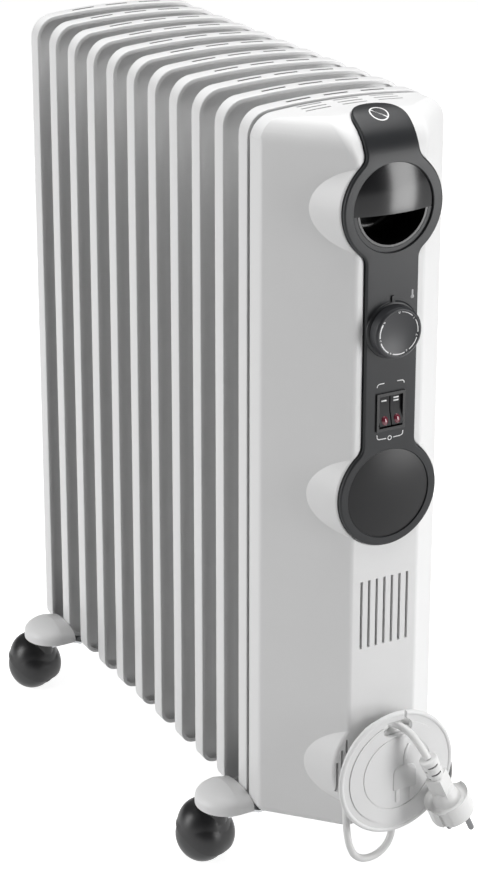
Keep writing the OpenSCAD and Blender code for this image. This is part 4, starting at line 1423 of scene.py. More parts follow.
@dataclass
class HousingForm:
    """Outer form of the moulded housing: a slanted block with three round pads."""

    back: float
    face: float
    low: float
    top: float
    half_depth: float
    pad_z: tuple[float, float, float]
    face_half: float = 30.0
    band: float = 16.0
    brow_r: float = 37.0
    foot_r: float = 8.0
    cheek_r: float = 24.0
    front_r: float = 5.5
    band_r: float = 6.0
    arch_r: float = 600.0
    corner_r: float = 20.0
    pad_r: float = 44.0
    pad_slope: float = 0.4
    pad_l: float = 34.0
    pad_edge: float = 3.4
    wall: float = 2.6
    arch_over: float = 0.4
    low_corner_r: float = 12.0

    def plan(self, z: float, g: float, back: float) -> list[Pair]:
        """Plan at height z, drawn in by g, with its back edge at the given place.

        Args:
            z: height.
            g: how far it is drawn in.
            back: x of its back edge.

        Returns:
            (x, y) points from one back corner round the front to the other.
        """
        fall = lambda r: r - math.sqrt(max(r * r - (z - self.top + r) ** 2, 0.0)) if z > self.top - r else 0.0
        under = self.low + self.foot_r - z
        foot = self.foot_r - math.sqrt(max(self.foot_r ** 2 - under ** 2, 0.0)) if under > 0 else 0.0
        run, rise = self.half_depth - self.face_half, self.face - self.back - self.band
        nx, ny = run / math.hypot(run, rise), rise / math.hypot(run, rise)
        side, front = self.half_depth - g - foot, self.face - g - foot - fall(self.brow_r)
        c = nx * self.face + ny * self.face_half - g - foot - fall(self.cheek_r)
        p0, p2 = ((x, (c - nx * x) / ny) for x in (back, front))
        p1 = ((c - ny * side) / nx, side)
        if p1[0] > self.back + 3:
            upper = [(back, side)] + rounded((back, side), p1, p2, self.band_r, 6)
        else:
            step = (Vector(p2) - Vector(p0)).normalized()
            upper = [p0] + [(p0[0] + k * step.x, p0[1] + k * step.y) for k in range(1, 8)]
        upper += rounded(p0, p2, (front, 0.0), self.front_r + 0.6 * fall(self.brow_r), 12)
        return [(x, -y) for x, y in upper] + upper[::-1]

    def shell(self, name: str, g: float, back: float) -> Piece:
        """The block drawn in by g, under its arched top.

        Args:
            name: name of the piece.
            g: how far it is drawn in.
            back: x of its back edge.

        Returns:
            The piece.
        """
        heights = [self.low + self.foot_r * (1 - math.cos(math.radians(a))) for a in range(0, 91, 10)]
        heights += [self.low + 8 + (self.top - self.brow_r - self.low - 8) * i / 12 for i in range(1, 12)]
        heights += [self.top - self.brow_r * (1 - math.sin(math.radians(a))) for a in range(0, 91, 5)]
        squeeze = 1 - 2 * g / (self.top - self.low)
        rings = [[(x, y, self.low + g + squeeze * (z - self.low)) for x, y in self.plan(z, g, back)]
                 for z in heights]
        made = solid(name, rings, HOUSING)
        outline = self.arched(g)
        prism = solid(name + "_arch", [[(x, y, z) for y, z in outline] for x in (back - 2, self.face + 2)],
                      HOUSING)
        combine(made, prism, "INTERSECT", 12)
        return made

    def arched(self, g: float) -> list[Pair]:
        """Outline in Y and Z with an arched top, drawn in by g.

        Args:
            g: how far it is drawn in.

        Returns:
            (y, z) points.
        """
        hw, r_arch, r_top = self.half_depth + self.arch_over - g, self.arch_r - g, self.corner_r - g
        r_low = max(self.low_corner_r - g, 1.0)
        dy, z_arch, low = hw - r_top, self.top - self.arch_r, self.low - 2 + g
        z_c = z_arch + math.sqrt((r_arch - r_top) ** 2 - dy * dy)
        lean = math.degrees(math.atan2(z_c - z_arch, dy))
        right = arc(hw - r_low, low + r_low, r_low, -90, 0, 8) + arc(dy, z_c, r_top, 0, lean, 14)
        right += arc(0, z_arch, r_arch, lean, 90, 12)[1:]
        return right + [(-y, z) for y, z in right[-2::-1]]

    def pad(self, z: float) -> Piece:
        """One round pad with a soft front edge.

        Args:
            z: height of the pad's middle.

        Returns:
            The piece.
        """
        l = self.pad_l
        base, front, middle = (self.pad_r + self.pad_slope * l, 0.0), (self.pad_r, l), (0.0, l)
        profile = [(0.0, 0.0), base] + rounded(base, front, middle, self.pad_edge, 8) + [middle]
        return turned("pad", profile, 144, about_x(self.face - self.pad_l, 0, z), HOUSING)


@dataclass
class Ribbon:
    """The fascia's outline: a round badge plate, a strip, a round handle plate and the bend over the brow."""

    form: HousingForm
    badge_z: float
    handle_z: float
    half: float = 22.8
    plate_r: float = 42.8
    neck_r: float = 11.0
    end_back: float = 16.0

    def edge(self) -> list[EdgePoint]:
        """Right half of the outline from the bottom to the top, with outward normals.

        Returns:
            (across, along, normal across, normal along) of each point.
        """
        w, f = self.half, self.neck_r
        q = math.sqrt((self.plate_r + f) ** 2 - (w + f) ** 2)
        lean = math.degrees(math.atan2(q, w + f))
        spots = arc_edge(0, self.badge_z, self.plate_r, -90, lean, 44)
        spots += arc_edge(w + f, self.badge_z + q, f, 180 + lean, 180, 8, -1)
        low, high = self.badge_z + q, self.handle_z - q
        spots += [(w, low + (high - low) * i / 6, 1.0, 0.0) for i in range(1, 6)]
        spots += arc_edge(w + f, high, f, 180, 180 - lean, 8, -1)
        spots += arc_edge(0, self.handle_z, self.plate_r, -lean, lean, 34)
        spots += arc_edge(w + f, self.handle_z + q, f, 180 + lean, 180, 8, -1)
        bend, r = self.form.top - self.form.brow_r, self.form.brow_r
        turn = lambda x: bend + r * math.acos(max(-1.0, min(1.0, (x - self.form.face + r) / r)))
        start, stop = self.handle_z + q, turn(self.form.face - self.end_back)
        spots += [(w, start + (stop - start) * i / 12, 1.0, 0.0) for i in range(1, 12)]
        cap = []
        for i in range(17):
            a = math.radians(90 * i / 16)
            x = self.form.face - self.end_back - w * math.sin(a)
            beyond = bend + r * math.pi / 2 + self.form.face - r - x
            cap.append((w * math.cos(a), turn(x) if x > self.form.face - r else beyond))
        for i, (u, s) in enumerate(cap):
            before, after = cap[max(i - 1, 0)], cap[min(i + 1, 16)]
            d = Vector((0, 1)) if i == 0 else Vector((-1, 0))
            if 0 < i < 16:
                d = Vector((after[0] - before[0], after[1] - before[1])).normalized()
            spots.append((u, s, d.y, -d.x))
        return spots

    def put(self, u: float, s: float, h: float) -> Point:
        """Point at height h over the face, bent back over the brow.

        Args:
            u: place across.
            s: place along the strip.
            h: height over the face.

        Returns:
            The point.
        """
        bend, r = self.form.top - self.form.brow_r, self.form.brow_r
        if s <= bend:
            return (self.form.face + h, u, s)
        a = (s - bend) / r
        if a <= math.pi / 2:
            return (self.form.face - r + (r + h) * math.cos(a), u, bend + (r + h) * math.sin(a))
        return (self.form.face - r - (s - bend - r * math.pi / 2), u, self.form.top + h)

    def build(self, name: str, profile: Sequence[Pair], finish: Finish, angle: float = 24.0) -> Piece:
        """A closed piece with the ribbon's outline.

        Args:
            name: name of the piece.
            profile: (growth, height) pairs up the edge, from the under side to the upper side.
            finish: finish of the piece.
            angle: smooth shading limit in degrees.

        Returns:
            The piece.
        """
        edge = self.edge()
        n = len(edge)
        shares = [1.0, 0.72, 0.36, 0.0, -0.36, -0.72, -1.0]
        verts: list[Point] = []
        faces: Faces = []
        for g, h in profile:
            ring = [(u + nu * g, s + ns * g) for u, s, nu, ns in edge]
            verts += [self.put(way * max(u, 0.0), s, h) for way in (1, -1) for u, s in ring]
        for level in range(len(profile) - 1):
            a, b = level * 2 * n, (level + 1) * 2 * n
            for i in range(n - 1):
                faces.append([a + i, a + i + 1, b + i + 1, b + i])
                faces.append([a + n + i + 1, a + n + i, b + n + i, b + n + i + 1])
        for (g, h), flip in ((profile[0], True), (profile[-1], False)):
            start = len(verts)
            for u, s, nu, ns in edge:
                across = max(u + nu * g, 0.0)
                verts += [self.put(across * k, s + ns * g, h) for k in shares]
            faces += grid_faces(start, n, len(shares), flip)
        return make_piece(name, verts, faces, finish, angle)


@dataclass
class ControlHousing:
    """Moulded housing with its fascia, hand recess, hood and badge."""

    place: Layout
    gap: float = 0.4
    pocket: float = 1.4
    out: float = FASCIA_OUT
    cup_r: float = 31.0
    hood_r: float = 34.0
    stem_r: float = 5.05
    sign_back: float = 17.5
    hang: float = 3.2
    cut_reach: Pair = (-14.0, 9.0)
    soften_w: float = 1.6
    soften_angle: float = 14.0
    slot_w: float = 2.0
    slot_l: float = 21.4
    slot_x: Point = (1.8, 8.6, 15.4)
    slot_y: Point = (-31.5, 0.0, 31.5)
    grille_z: Pair = (210.0, 267.0)
    grille_pitch: float = 6.86
    grille_w: float = 2.2
    louvre_w: float = 1.8
    louvres: tuple[Point, ...] = ((-40.2, -19.0, 7.0), (-36.0, -6.0, 17.0), (-31.8, 6.0, 25.0))

    def build(self) -> None:
        """Builds the outer pieces and dresses the inner ones."""
        low, high = span("control_housing")
        p = self.place
        form = HousingForm(low[0], high[0], span("backplate")[0][2] - self.hang, high[2], high[1],
                           (p.handle_z, p.badge_z, p.disc_z))
        ribbon = Ribbon(form, p.badge_z, p.handle_z)
        self.housing(form, ribbon)
        self.fascia(form, ribbon)
        recast("handle_hood", "grip_hood", GLOSS, Slot.GLOSS, 30)
        recast("handle_cup", "grip_recess", BLACK, Slot.BLACK, 30)
        recast("badge_disc", "badge", BADGE, Slot.GLOSS, 30)
        for node, finish in (
                ("filler_plug", ZINC), ("heating_element", ELEMENT), ("element_flange", ZINC),
                ("backplate", ZINC), ("housing_screws", ZINC), ("thermostat", IVORY),
                ("thermal_cutout", BRASS), ("terminal_block", IVORY)):
            dress(node, finish)

    def openings(self, form: HousingForm, wide: float) -> list[Piece]:
        """Cutters for the cup, the switch and the knob's stem.

        Args:
            form: the housing's form.
            wide: how much wider than its piece each opening is, on every side.

        Returns:
            The cutters.
        """
        p, (x0, x1) = self.place, (form.face + reach for reach in self.cut_reach)
        low, high = span("switch_case")
        rod = lambda r, z, y=0.0: turned("rod", [(0, x0), (r, x0), (r, x1), (0, x1)], 96, about_x(0, y, z),
                                         PAINTED_SHADE)
        return [rod(self.cup_r + wide, p.handle_z), rod(self.stem_r + wide, p.knob_z),
                block("slot", (x0, low[1] + 1 - wide, low[2] + 1 - wide),
                      (x1, high[1] - 1 + wide, high[2] - 1 + wide))]

    def housing(self, form: HousingForm, ribbon: Ribbon) -> None:
        """The shell with its pads, slots and holes.

        Args:
            form: the housing's form.
            ribbon: the fascia's outline.
        """
        piece = form.shell("housing", 0.0, form.back)
        for z in form.pad_z:
            combine(piece, form.pad(z), "UNION", 12)
        soften = piece.modifiers.new("soften", "BEVEL")
        soften.width, soften.segments = self.soften_w * MM, 3
        soften.limit_method, soften.angle_limit = "ANGLE", math.radians(self.soften_angle)
        soften.use_clamp_overlap = True
        mesh = run_modifiers(piece)
        piece.modifiers.clear()
        piece.data = mesh
        mesh.name = piece.name
        combine(piece, form.shell("inside", form.wall, form.back - 1), "DIFFERENCE", 12)
        g, d = self.gap, -self.pocket
        mouth = ribbon.build("mouth",
                             [(g, d), (g, -0.9), (g + 0.15, -0.45), (g + 0.5, -0.1), (g + 1.0, 0.05),
                              (g + 1.0, 8.0)], HOUSING)
        combine(piece, mouth, "DIFFERENCE", 12)
        cuts = self.openings(form, self.gap)
        half, face = self.slot_l / 2, form.face
        cuts += [block("vent", (form.back + x, y - half, form.top - 12),
                       (form.back + x + self.slot_w, y + half, form.top + 2))
                 for x in self.slot_x for y in self.slot_y]
        (low, high), half = self.grille_z, self.grille_w / 2
        cuts += [block("vent", (face - 8, y - half, low), (face + 2, y + half, high))
                 for y in [k * self.grille_pitch for k in range(-3, 4)]]
        combine(piece, join("cuts", cuts), "DIFFERENCE", 12)
        half, z = self.louvre_w / 2, self.place.disc_z
        louvres = [block("vent", (face - 9, y - half, z + low), (face + 2, y + half, z + high))
                   for y, low, high in self.louvres]
        combine(piece, join("louvres", louvres), "DIFFERENCE", 12)
        weigh(piece)
        settle(piece, Body.HEATER, Slot.HOUSING, "control_housing")

    def fascia(self, form: HousingForm, ribbon: Ribbon) -> None:
        """The dark strip with its plates, its seats and its holes.

        Args:
            form: the housing's form.
            ribbon: the fascia's outline.
        """
        o = self.out
        edge = [(-0.0, -1.1), (0.0, o - 1.6), (-0.12, o - 1.0), (-0.47, o - 0.47), (-1.0, o - 0.12),
                (-1.6, o)]
        piece = ribbon.build("fascia_panel", edge, FASCIA)
        p = self.place
        seats = [turned("seat",
                        [(0, o - 1.6), (self.hood_r + 0.4, o - 1.6), (self.hood_r + 0.4, o - 0.4),
                         (self.hood_r + 1.2, o + 0.2), (self.hood_r + 1.2, o + 4), (0, o + 4)],
                        120, about_x(form.face, 0, p.handle_z), FASCIA)]
        low, high = span("badge_disc")
        r = (high[1] - low[1]) / 2
        seats.append(turned("seat",
                            [(0, o - 1.2), (r + 0.4, o - 1.2), (r + 0.4, o - 0.3), (r + 0.9, o + 0.2),
                             (r + 0.9, o + 4), (0, o + 4)],
                            120, about_x(form.face, 0, p.badge_z), FASCIA))
        combine(piece, join("seats", seats), "DIFFERENCE", 24)
        combine(piece, join("cuts", self.openings(form, 0.0)), "DIFFERENCE", 24)
        weigh(piece)
        skirt = turned("skirt",
                       [(5.2, o - 0.2), (22.6, o - 0.2), (22.4, o + 0.5), (21.9, o + 1.2), (21.2, o + 1.6),
                        (5.2, o + 1.6), (5.2, o - 0.2)],
                       120, about_x(form.face, 0, p.knob_z), FASCIA)
        pointer = block("pointer", (form.face + o - 0.2, -1.1, p.knob_z + 21.0),
                        (form.face + o + 1.5, 1.1, p.knob_z + 26.6))
        pointer.data.materials[0] = FASCIA.material()
        settle(piece, Body.HEATER, Slot.FASCIA, "fascia")
        end = max(spot[1] for spot in ribbon.edge()) - self.sign_back
        flat = lambda u, v, h: ribbon.put(u, end + v, o - 0.01 + h)
        verts, faces = revolve([(6.4, 0.0), (6.4, 0.05), (6.5, 0.07), (7.4, 0.07), (7.5, 0.05), (7.5, 0.0),
                                (6.4, 0.0)], 48, flat)
        bar = plate("top_bar", stroke([(0.75 * k - 4.5, 4.5 - 0.75 * k) for k in range(13)], lambda t: 1.0),
                    0.06, flat, INK)
        settle(join("top_sign", [make_piece("top_ring", verts, faces, INK, 40), bar]), Body.HEATER,
               Slot.FASCIA)
        settle(skirt, Body.HEATER, Slot.FASCIA)
        settle(pointer, Body.HEATER, Slot.FASCIA)


# --- knob and switch


@dataclass
class Knob:
    """Thermostat knob with its printed scale."""

    place: Layout
    scale_r: float = 16.6
    digit: float = 3.3
    digits: int = 7
    skirt_h: float = 1.9
    scale_gap: float = 8.5

    def build(self) -> None:
        """Builds the knob and its scale."""
        low, high = span("knob")
        top, r = high[0], (high[1] - low[1]) / 2
        base = self.place.front + self.skirt_h
        profile = [(0.0, top - 0.5), (r - 3.6, top - 0.5), (r - 3.2, top - 0.35), (r - 2.9, top - 0.08)]
        profile += arc(r - 2.4, top - 1.0, 1.0, 110, 60, 3) + arc(r - 2.0, top - 1.8, 1.6, 45, 8, 4)
        profile += [(r, base + 0.5), (r - 0.4, base), (5.0, base), (5.0, low[0] + 0.5), (4.5, low[0]),
                    (0.0, low[0])]
        verts, faces = revolve(profile, 96, about_x(0, 0, self.place.knob_z))
        piece = make_piece("knob_cap", verts, faces, KNOB, 28)
        settle(piece, Body.KNOB, Slot.KNOB, "knob")
        face = about_x(top - 0.5, 0, self.place.knob_z)
        marks: list[Piece] = []
        step = 360 / self.digits
        for k in range(self.digits):
            a = math.radians(step * k)
            spot = about_x(top - 0.51, self.scale_r * math.sin(a),
                           self.place.knob_z + self.scale_r * math.cos(a))
            marks.append(lettering(f"digit_{k}", str(k), self.digit, 0.07, INK, spot, step * k))
            if k < self.digits - 1:
                marks.append(self.arc_mark(k, step, face))
        settle(join("knob_scale", marks), Body.KNOB, Slot.KNOB)

    def arc_mark(self, k: int, step: float, face: Placing) -> Piece:
        """The line between two numbers, thicker towards the high end.

        Args:
            k: number at its low end.
            step: degrees from number to number.
            face: placing on the knob's face.

        Returns:
            The piece.
        """
        a0, a1 = step * k + self.scale_gap, step * (k + 1) - self.scale_gap
        path = [(self.scale_r * math.sin(math.radians(a0 + (a1 - a0) * i / 12)),
                 self.scale_r * math.cos(math.radians(a0 + (a1 - a0) * i / 12)))
                for i in range(13)]
        return plate(f"scale_{k}", stroke(path, lambda t: 0.42 + 0.15 * (k + t)), 0.06, face, INK)


@dataclass
class Switches:
    """Double rocker switch with neon lenses, and the lines printed round it."""

    place: Layout
    lean: float = 8.0
    out: float = 3.4
    rise: float = 1.4
    half: float = 10.9

    def build(self) -> None:
        """Builds the case, both rockers and the printed lines."""
        recast("switch_case", "switch_frame", BLACK, Slot.BLACK, 30)
        pivot = {j["child"]: [c / MM for c in j["pos_m"]] for j in frame["joints"]}
        for body, bars in ((Body.ROCKER_LEFT, (8.0,)), (Body.ROCKER_RIGHT, (9.2, 6.9))):
            node = body.value
            recast(node, f"{node}_cap", ROCKER, Slot.ROCKER, 30, body)
            x, y, z = pivot[node]
            tilt = math.radians(self.lean)
            def on_rocker(v0: float, up: float) -> Placing:
                """Placing on one half of the rocker, at a height over its face."""
                slope = math.atan2(self.rise, self.half) * (1 if v0 > 0 else -1)
                x0 = self.out + self.rise * abs(v0) / self.half + up
                def put(u: float, v: float, h: float) -> Point:
                    """Point on the leaning rocker."""
                    lx = x0 + v * math.sin(slope) + h * math.cos(slope)
                    lz = v0 + v * math.cos(slope) - h * math.sin(slope)
                    return (x + lx * math.cos(tilt) - lz * math.sin(tilt), y + u,
                            z + lx * math.sin(tilt) + lz * math.cos(tilt))
                return put
            ink = [plate(f"{node}_bar_{i}", [(-2.3, -0.6), (2.3, -0.6), (2.3, 0.6), (-2.3, 0.6)], 0.07,
                         on_rocker(v, -0.01), INK)
                   for i, v in enumerate(bars)]
            settle(join(f"{node}_mark", ink) if len(ink) > 1 else ink[0], body, Slot.ROCKER)
            spot = on_rocker(-7.4, -0.25)
            dome = [(2.9 * math.cos(a), 1.3 * math.sin(a))
                    for a in [math.radians(90 * i / 8) for i in range(9)]]
            rim = [(3.3, -0.3), (3.3, 0.3), (3.1, 0.45), (2.9, 0.3)]
            oval = lambda u, v, h: spot(u * 0.88, v * 1.1, h)
            verts, faces = revolve([(0.0, -0.3)] + rim + dome[1:], 32, oval)
            lens = make_piece(f"{node}_lens", verts, faces, LENS, 30)
            settle(lens, body, Slot.ROCKER)
        self.print_lines()

    def print_lines(self) -> None:
        """The hooked lines above and below the switch, and the small ring."""
        z = self.place.switch_z
        face = about_x(self.place.front - 0.01, 0, z)
        thin = lambda t: 0.75
        lines = [
            [(-11.9, 20.6), (-11.6, 21.8), (-10.7, 22.6), (-9.2, 22.9), (-5.9, 22.9)],
            [(5.9, 22.9), (9.2, 22.9), (10.7, 22.6), (11.6, 21.8), (11.9, 20.6)],
            [(-11.3, -18.2), (-11.2, -20.2), (-10.4, -21.4), (-9.0, -21.8), (-3.4, -21.9)],
            [(3.4, -21.9), (9.0, -21.8), (10.6, -21.4), (11.5, -20.2), (11.7, -18.2)],
        ]
        marks = [plate(f"line_{i}", stroke(path, thin), 0.06, face, INK) for i, path in enumerate(lines)]
        ring = [(1.25, 0.0), (1.25, 0.05), (1.35, 0.07), (1.8, 0.07), (1.9, 0.05), (1.9, 0.0), (1.25, 0.0)]
        spot = about_x(self.place.front - 0.01, 0, z - 21.9)
        verts, faces = revolve(ring, 32, spot)
        marks.append(make_piece("off_ring", verts, faces, INK, 40))
        sign_z = self.place.knob_z + 25
        sign = about_x(self.place.front - 0.01, 17.4, sign_z)
        body = arc(0, -1.9, 1.5, 120, 420, 14) + [(0.75, 3.2), (0.4, 3.7), (-0.4, 3.7), (-0.75, 3.2)]
        marks.append(plate("heat_sign", body, 0.06, sign, GREY_INK))
        settle(join("printed_lines", marks), Body.HEATER, Slot.FASCIA)


# --- cord


@dataclass
class MainsCord:
    """Mains cord from the strain relief, round the hub in three layers, to the plug."""

    place: Layout
    radius: float = 3.0
    layers: tuple[float, ...] = (27.3, 33.3, 39.3)
    first: float = 0.02
    turns: float = 6.2
    steps: int = 260
    loop: tuple[Point, ...] = (
        (8.6, 6, -59), (8.6, 5, -66), (8.8, 1, -73), (9, -6, -78), (9.4, -14, -79.5), (9.8, -22, -78),
        (10, -29, -73),
        (10.4, -33, -66), (10.6, -35.5, -58), (10, -36.8, -48), (8, -36.5, -36), (5.2, -34.4, -24),
        (3.6, -31, -12))
    tail: tuple[Point, ...] = (
        (16, -5, 40.5), (21, 0, 40.5), (27, 4, 38.5), (33, 7.5, 34.5), (38, 10, 29), (41.5, 12.5, 23.5),
        (44, 15, 18))

    def centre(self) -> list[Point]:
        """Centre line in millimetres."""
        return [(self.place.face + x, y, self.place.disc_z + z) for x, y, z in self.route()]

    def wound(self, turns: float) -> Point:
        """Point of the wound part after a number of turns, from the left side up.

        Args:
            turns: turns from the left side up.

        Returns:
            The point, from the face and the middle of the disc.
        """
        keys = [(0.0, 0, 3.5), (2.05, 0, 15.8), (2.3, 1, 16.2), (3.0, 1, 16.2), (3.95, 1, 10.0),
                (4.2, 2, 10.0), (5.0, 2, 10.0), (5.95, 2, 16.2), (6.3, 2, 16.2)]
        for (t0, l0, x0), (t1, l1, x1) in zip(keys, keys[1:]):
            if turns <= t1:
                s = smoothstep((turns - t0) / (t1 - t0)) if l0 != l1 else (turns - t0) / (t1 - t0)
                r = self.layers[l0] + (self.layers[l1] - self.layers[l0]) * s
                x = x0 + (x1 - x0) * s
                break
        a = math.radians(180 - 360 * turns)
        return (x, r * math.cos(a), r * math.sin(a))

    def route(self) -> list[Point]:
        """All points of the route.

        Returns:
            Points from the face and the middle of the disc.
        """
        wound = [self.wound(self.first + self.turns * i / self.steps) for i in range(self.steps + 1)]
        start = self.smooth(list(self.loop[:-1]) + wound[:3], 4)[: 4 * (len(self.loop) - 1)]
        finish = self.smooth(wound[-3:] + list(self.tail), 4)[8:]
        return start + wound + finish

    @staticmethod
    def smooth(points: Sequence[Point], steps: int) -> list[Point]:
        """Points on a smooth line through all the given points.

        Args:
            points: points that the line passes.
            steps: steps from one point to the next.

        Returns:
            Points of the line.
        """
        out: list[Point] = []
        n = len(points)
        for i in range(n - 1):
            a, b, c, d = (Vector(points[min(max(k, 0), n - 1)]) for k in (i - 1, i, i + 1, i + 2))
            for s in range(steps):
                t = s / steps
                v = 0.5 * (2 * b + (c - a) * t + (2 * a - 5 * b + 4 * c - d) * t * t
                           + (3 * b - a - 3 * c + d) * t ** 3)
                out.append((v.x, v.y, v.z))
        out.append(tuple(points[-1]))
        return out

    def build(self) -> None:
        path = self.centre()
        length = sum((Vector(b) - Vector(a)).length for a, b in zip(path, path[1:]))
        piece = sweep_round("mains_cord", path, self.radius, 14, CORD)
        settle(piece, Body.HEATER, Slot.CORD, "cord_loop", "cord_winding", "cord_tail")
        metres = [[c * MM for c in p] for p in path]
        log.info("cord length %.0f mm", length)
        tuple(metres[0])


@dataclass
class Plug:
    """Moulded plug and its pins, at the end of the cord."""

    start: Point
    lean: float = 25.0
    core_r: float = 6.5
    cut_z: float = 4.0
    cut_w: float = 1.5
    cuts: int = 4

    def build(self) -> None:
        """Builds the plug's body, the painted shade inside its sleeve cuts, and its pins."""
        recast("plug_body", "plug_moulding", CORD, Slot.CORD)
        settle(self.floors(), Body.HEATER, Slot.CORD)
        recast("plug_pins", "plug_contacts", PIN, Slot.PIN, 40)

    def floors(self) -> Piece:
        """Painted shade: dark inner faces, seen through the cuts across the sleeve, where only shade falls.

        Returns:
            The piece.
        """
        a = math.radians(180 + self.lean)
        c, s = math.cos(a), math.sin(a)
        x, y, z = self.start
        put = lambda u, v, h: (x + u, y + v * c - h * s, z + v * s + h * c)
        parts = []
        for k in range(self.cuts):

            low, high = self.cut_z * (k + 1) + 0.05, self.cut_z * (k + 1) + self.cut_w - 0.05
            profile = [(0.0, low), (self.core_r - 0.2, low), (self.core_r, low + 0.2),
                       (self.core_r, high - 0.2), (self.core_r - 0.2, high), (0.0, high)]
            parts.append(turned("cut_floor", profile, 40, put, PAINTED_SHADE))
        return join("sleeve_shadows", parts)


@dataclass
class CordWrap:
    """Hub and front disc that the cord is wound on, with the strain relief."""

    place: Layout
    ring_shift: float = 3.3
    ring_span: Pair = (26.6, 28.6)
    relief: float = 0.8
    sign_at: Pair = (7.0, -4.0)

    def build(self) -> None:
        """Builds the hub, the disc and the strain relief."""
        recast("reel_hub", "wrap_hub", HOUSING, Slot.HOUSING)
        disc = smooth_copy("reel_disc", "wrap_disc", HOUSING)
        self.widen_ring(disc.data)
        settle(disc, Body.HEATER, Slot.HOUSING, "reel_disc")
        settle(self.pictogram(), Body.HEATER, Slot.HOUSING)
        recast("cord_gland", "strain_relief", CORD, Slot.CORD, 40)

    def widen_ring(self, mesh: bpy.types.Mesh) -> None:
        """Moves the shallow ring groove outwards, to the edge of the sign.

        Args:
            mesh: the disc's mesh, which changes.
        """
        front, middle = self.place.disc_front * MM, self.place.disc_z * MM
        low, high = self.ring_span
        for vertex in mesh.vertices:
            y, z = vertex.co.y, vertex.co.z - middle
            r = math.hypot(y, z) / MM
            if vertex.co.x > front - MM and low < r < high:
                vertex.co.y = y * (r + self.ring_shift) / r
                vertex.co.z = middle + z * (r + self.ring_shift) / r

    def pictogram(self) -> Piece:
        """Raised outline of a plug with its cord, for the place of the plug.

        Returns:
            The piece.
        """
        face = about_x(self.place.disc_front - 0.02, self.sign_at[0], self.place.disc_z + self.sign_at[1])
        body = [(-10.4, -11.5), (10.4, -11.5), (10.4, 2.5)] + arc(4.4, 2.5, 6.0, 0, 80, 6)
        body += [(1.5, 9.0), (1.5, 17.0), (2.3, 21.5), (4.6, 26.0), (2.6, 27.4), (0.0, 22.8), (-1.5, 17.4),
                 (-1.5, 9.0)]
        body += arc(-4.4, 2.5, 6.0, 100, 180, 6)
        pins = [[(s * 6.4 - 2.1, -21)] + arc(s * 6.4, -21, 2.1, 180, 360, 7)[1:-1]
                + [(s * 6.4 + 2.1, -21), (s * 6.4 + 2.1, -11.4), (s * 6.4 - 2.1, -11.4)] for s in (-1, 1)]
        parts = [plate("sign_body", body, self.relief, face, HOUSING)]
        parts += [plate(f"sign_pin_{i}", pin, self.relief * 0.85, face, HOUSING)
                  for i, pin in enumerate(pins)]
        return join("wrap_sign", parts)


# --- feet


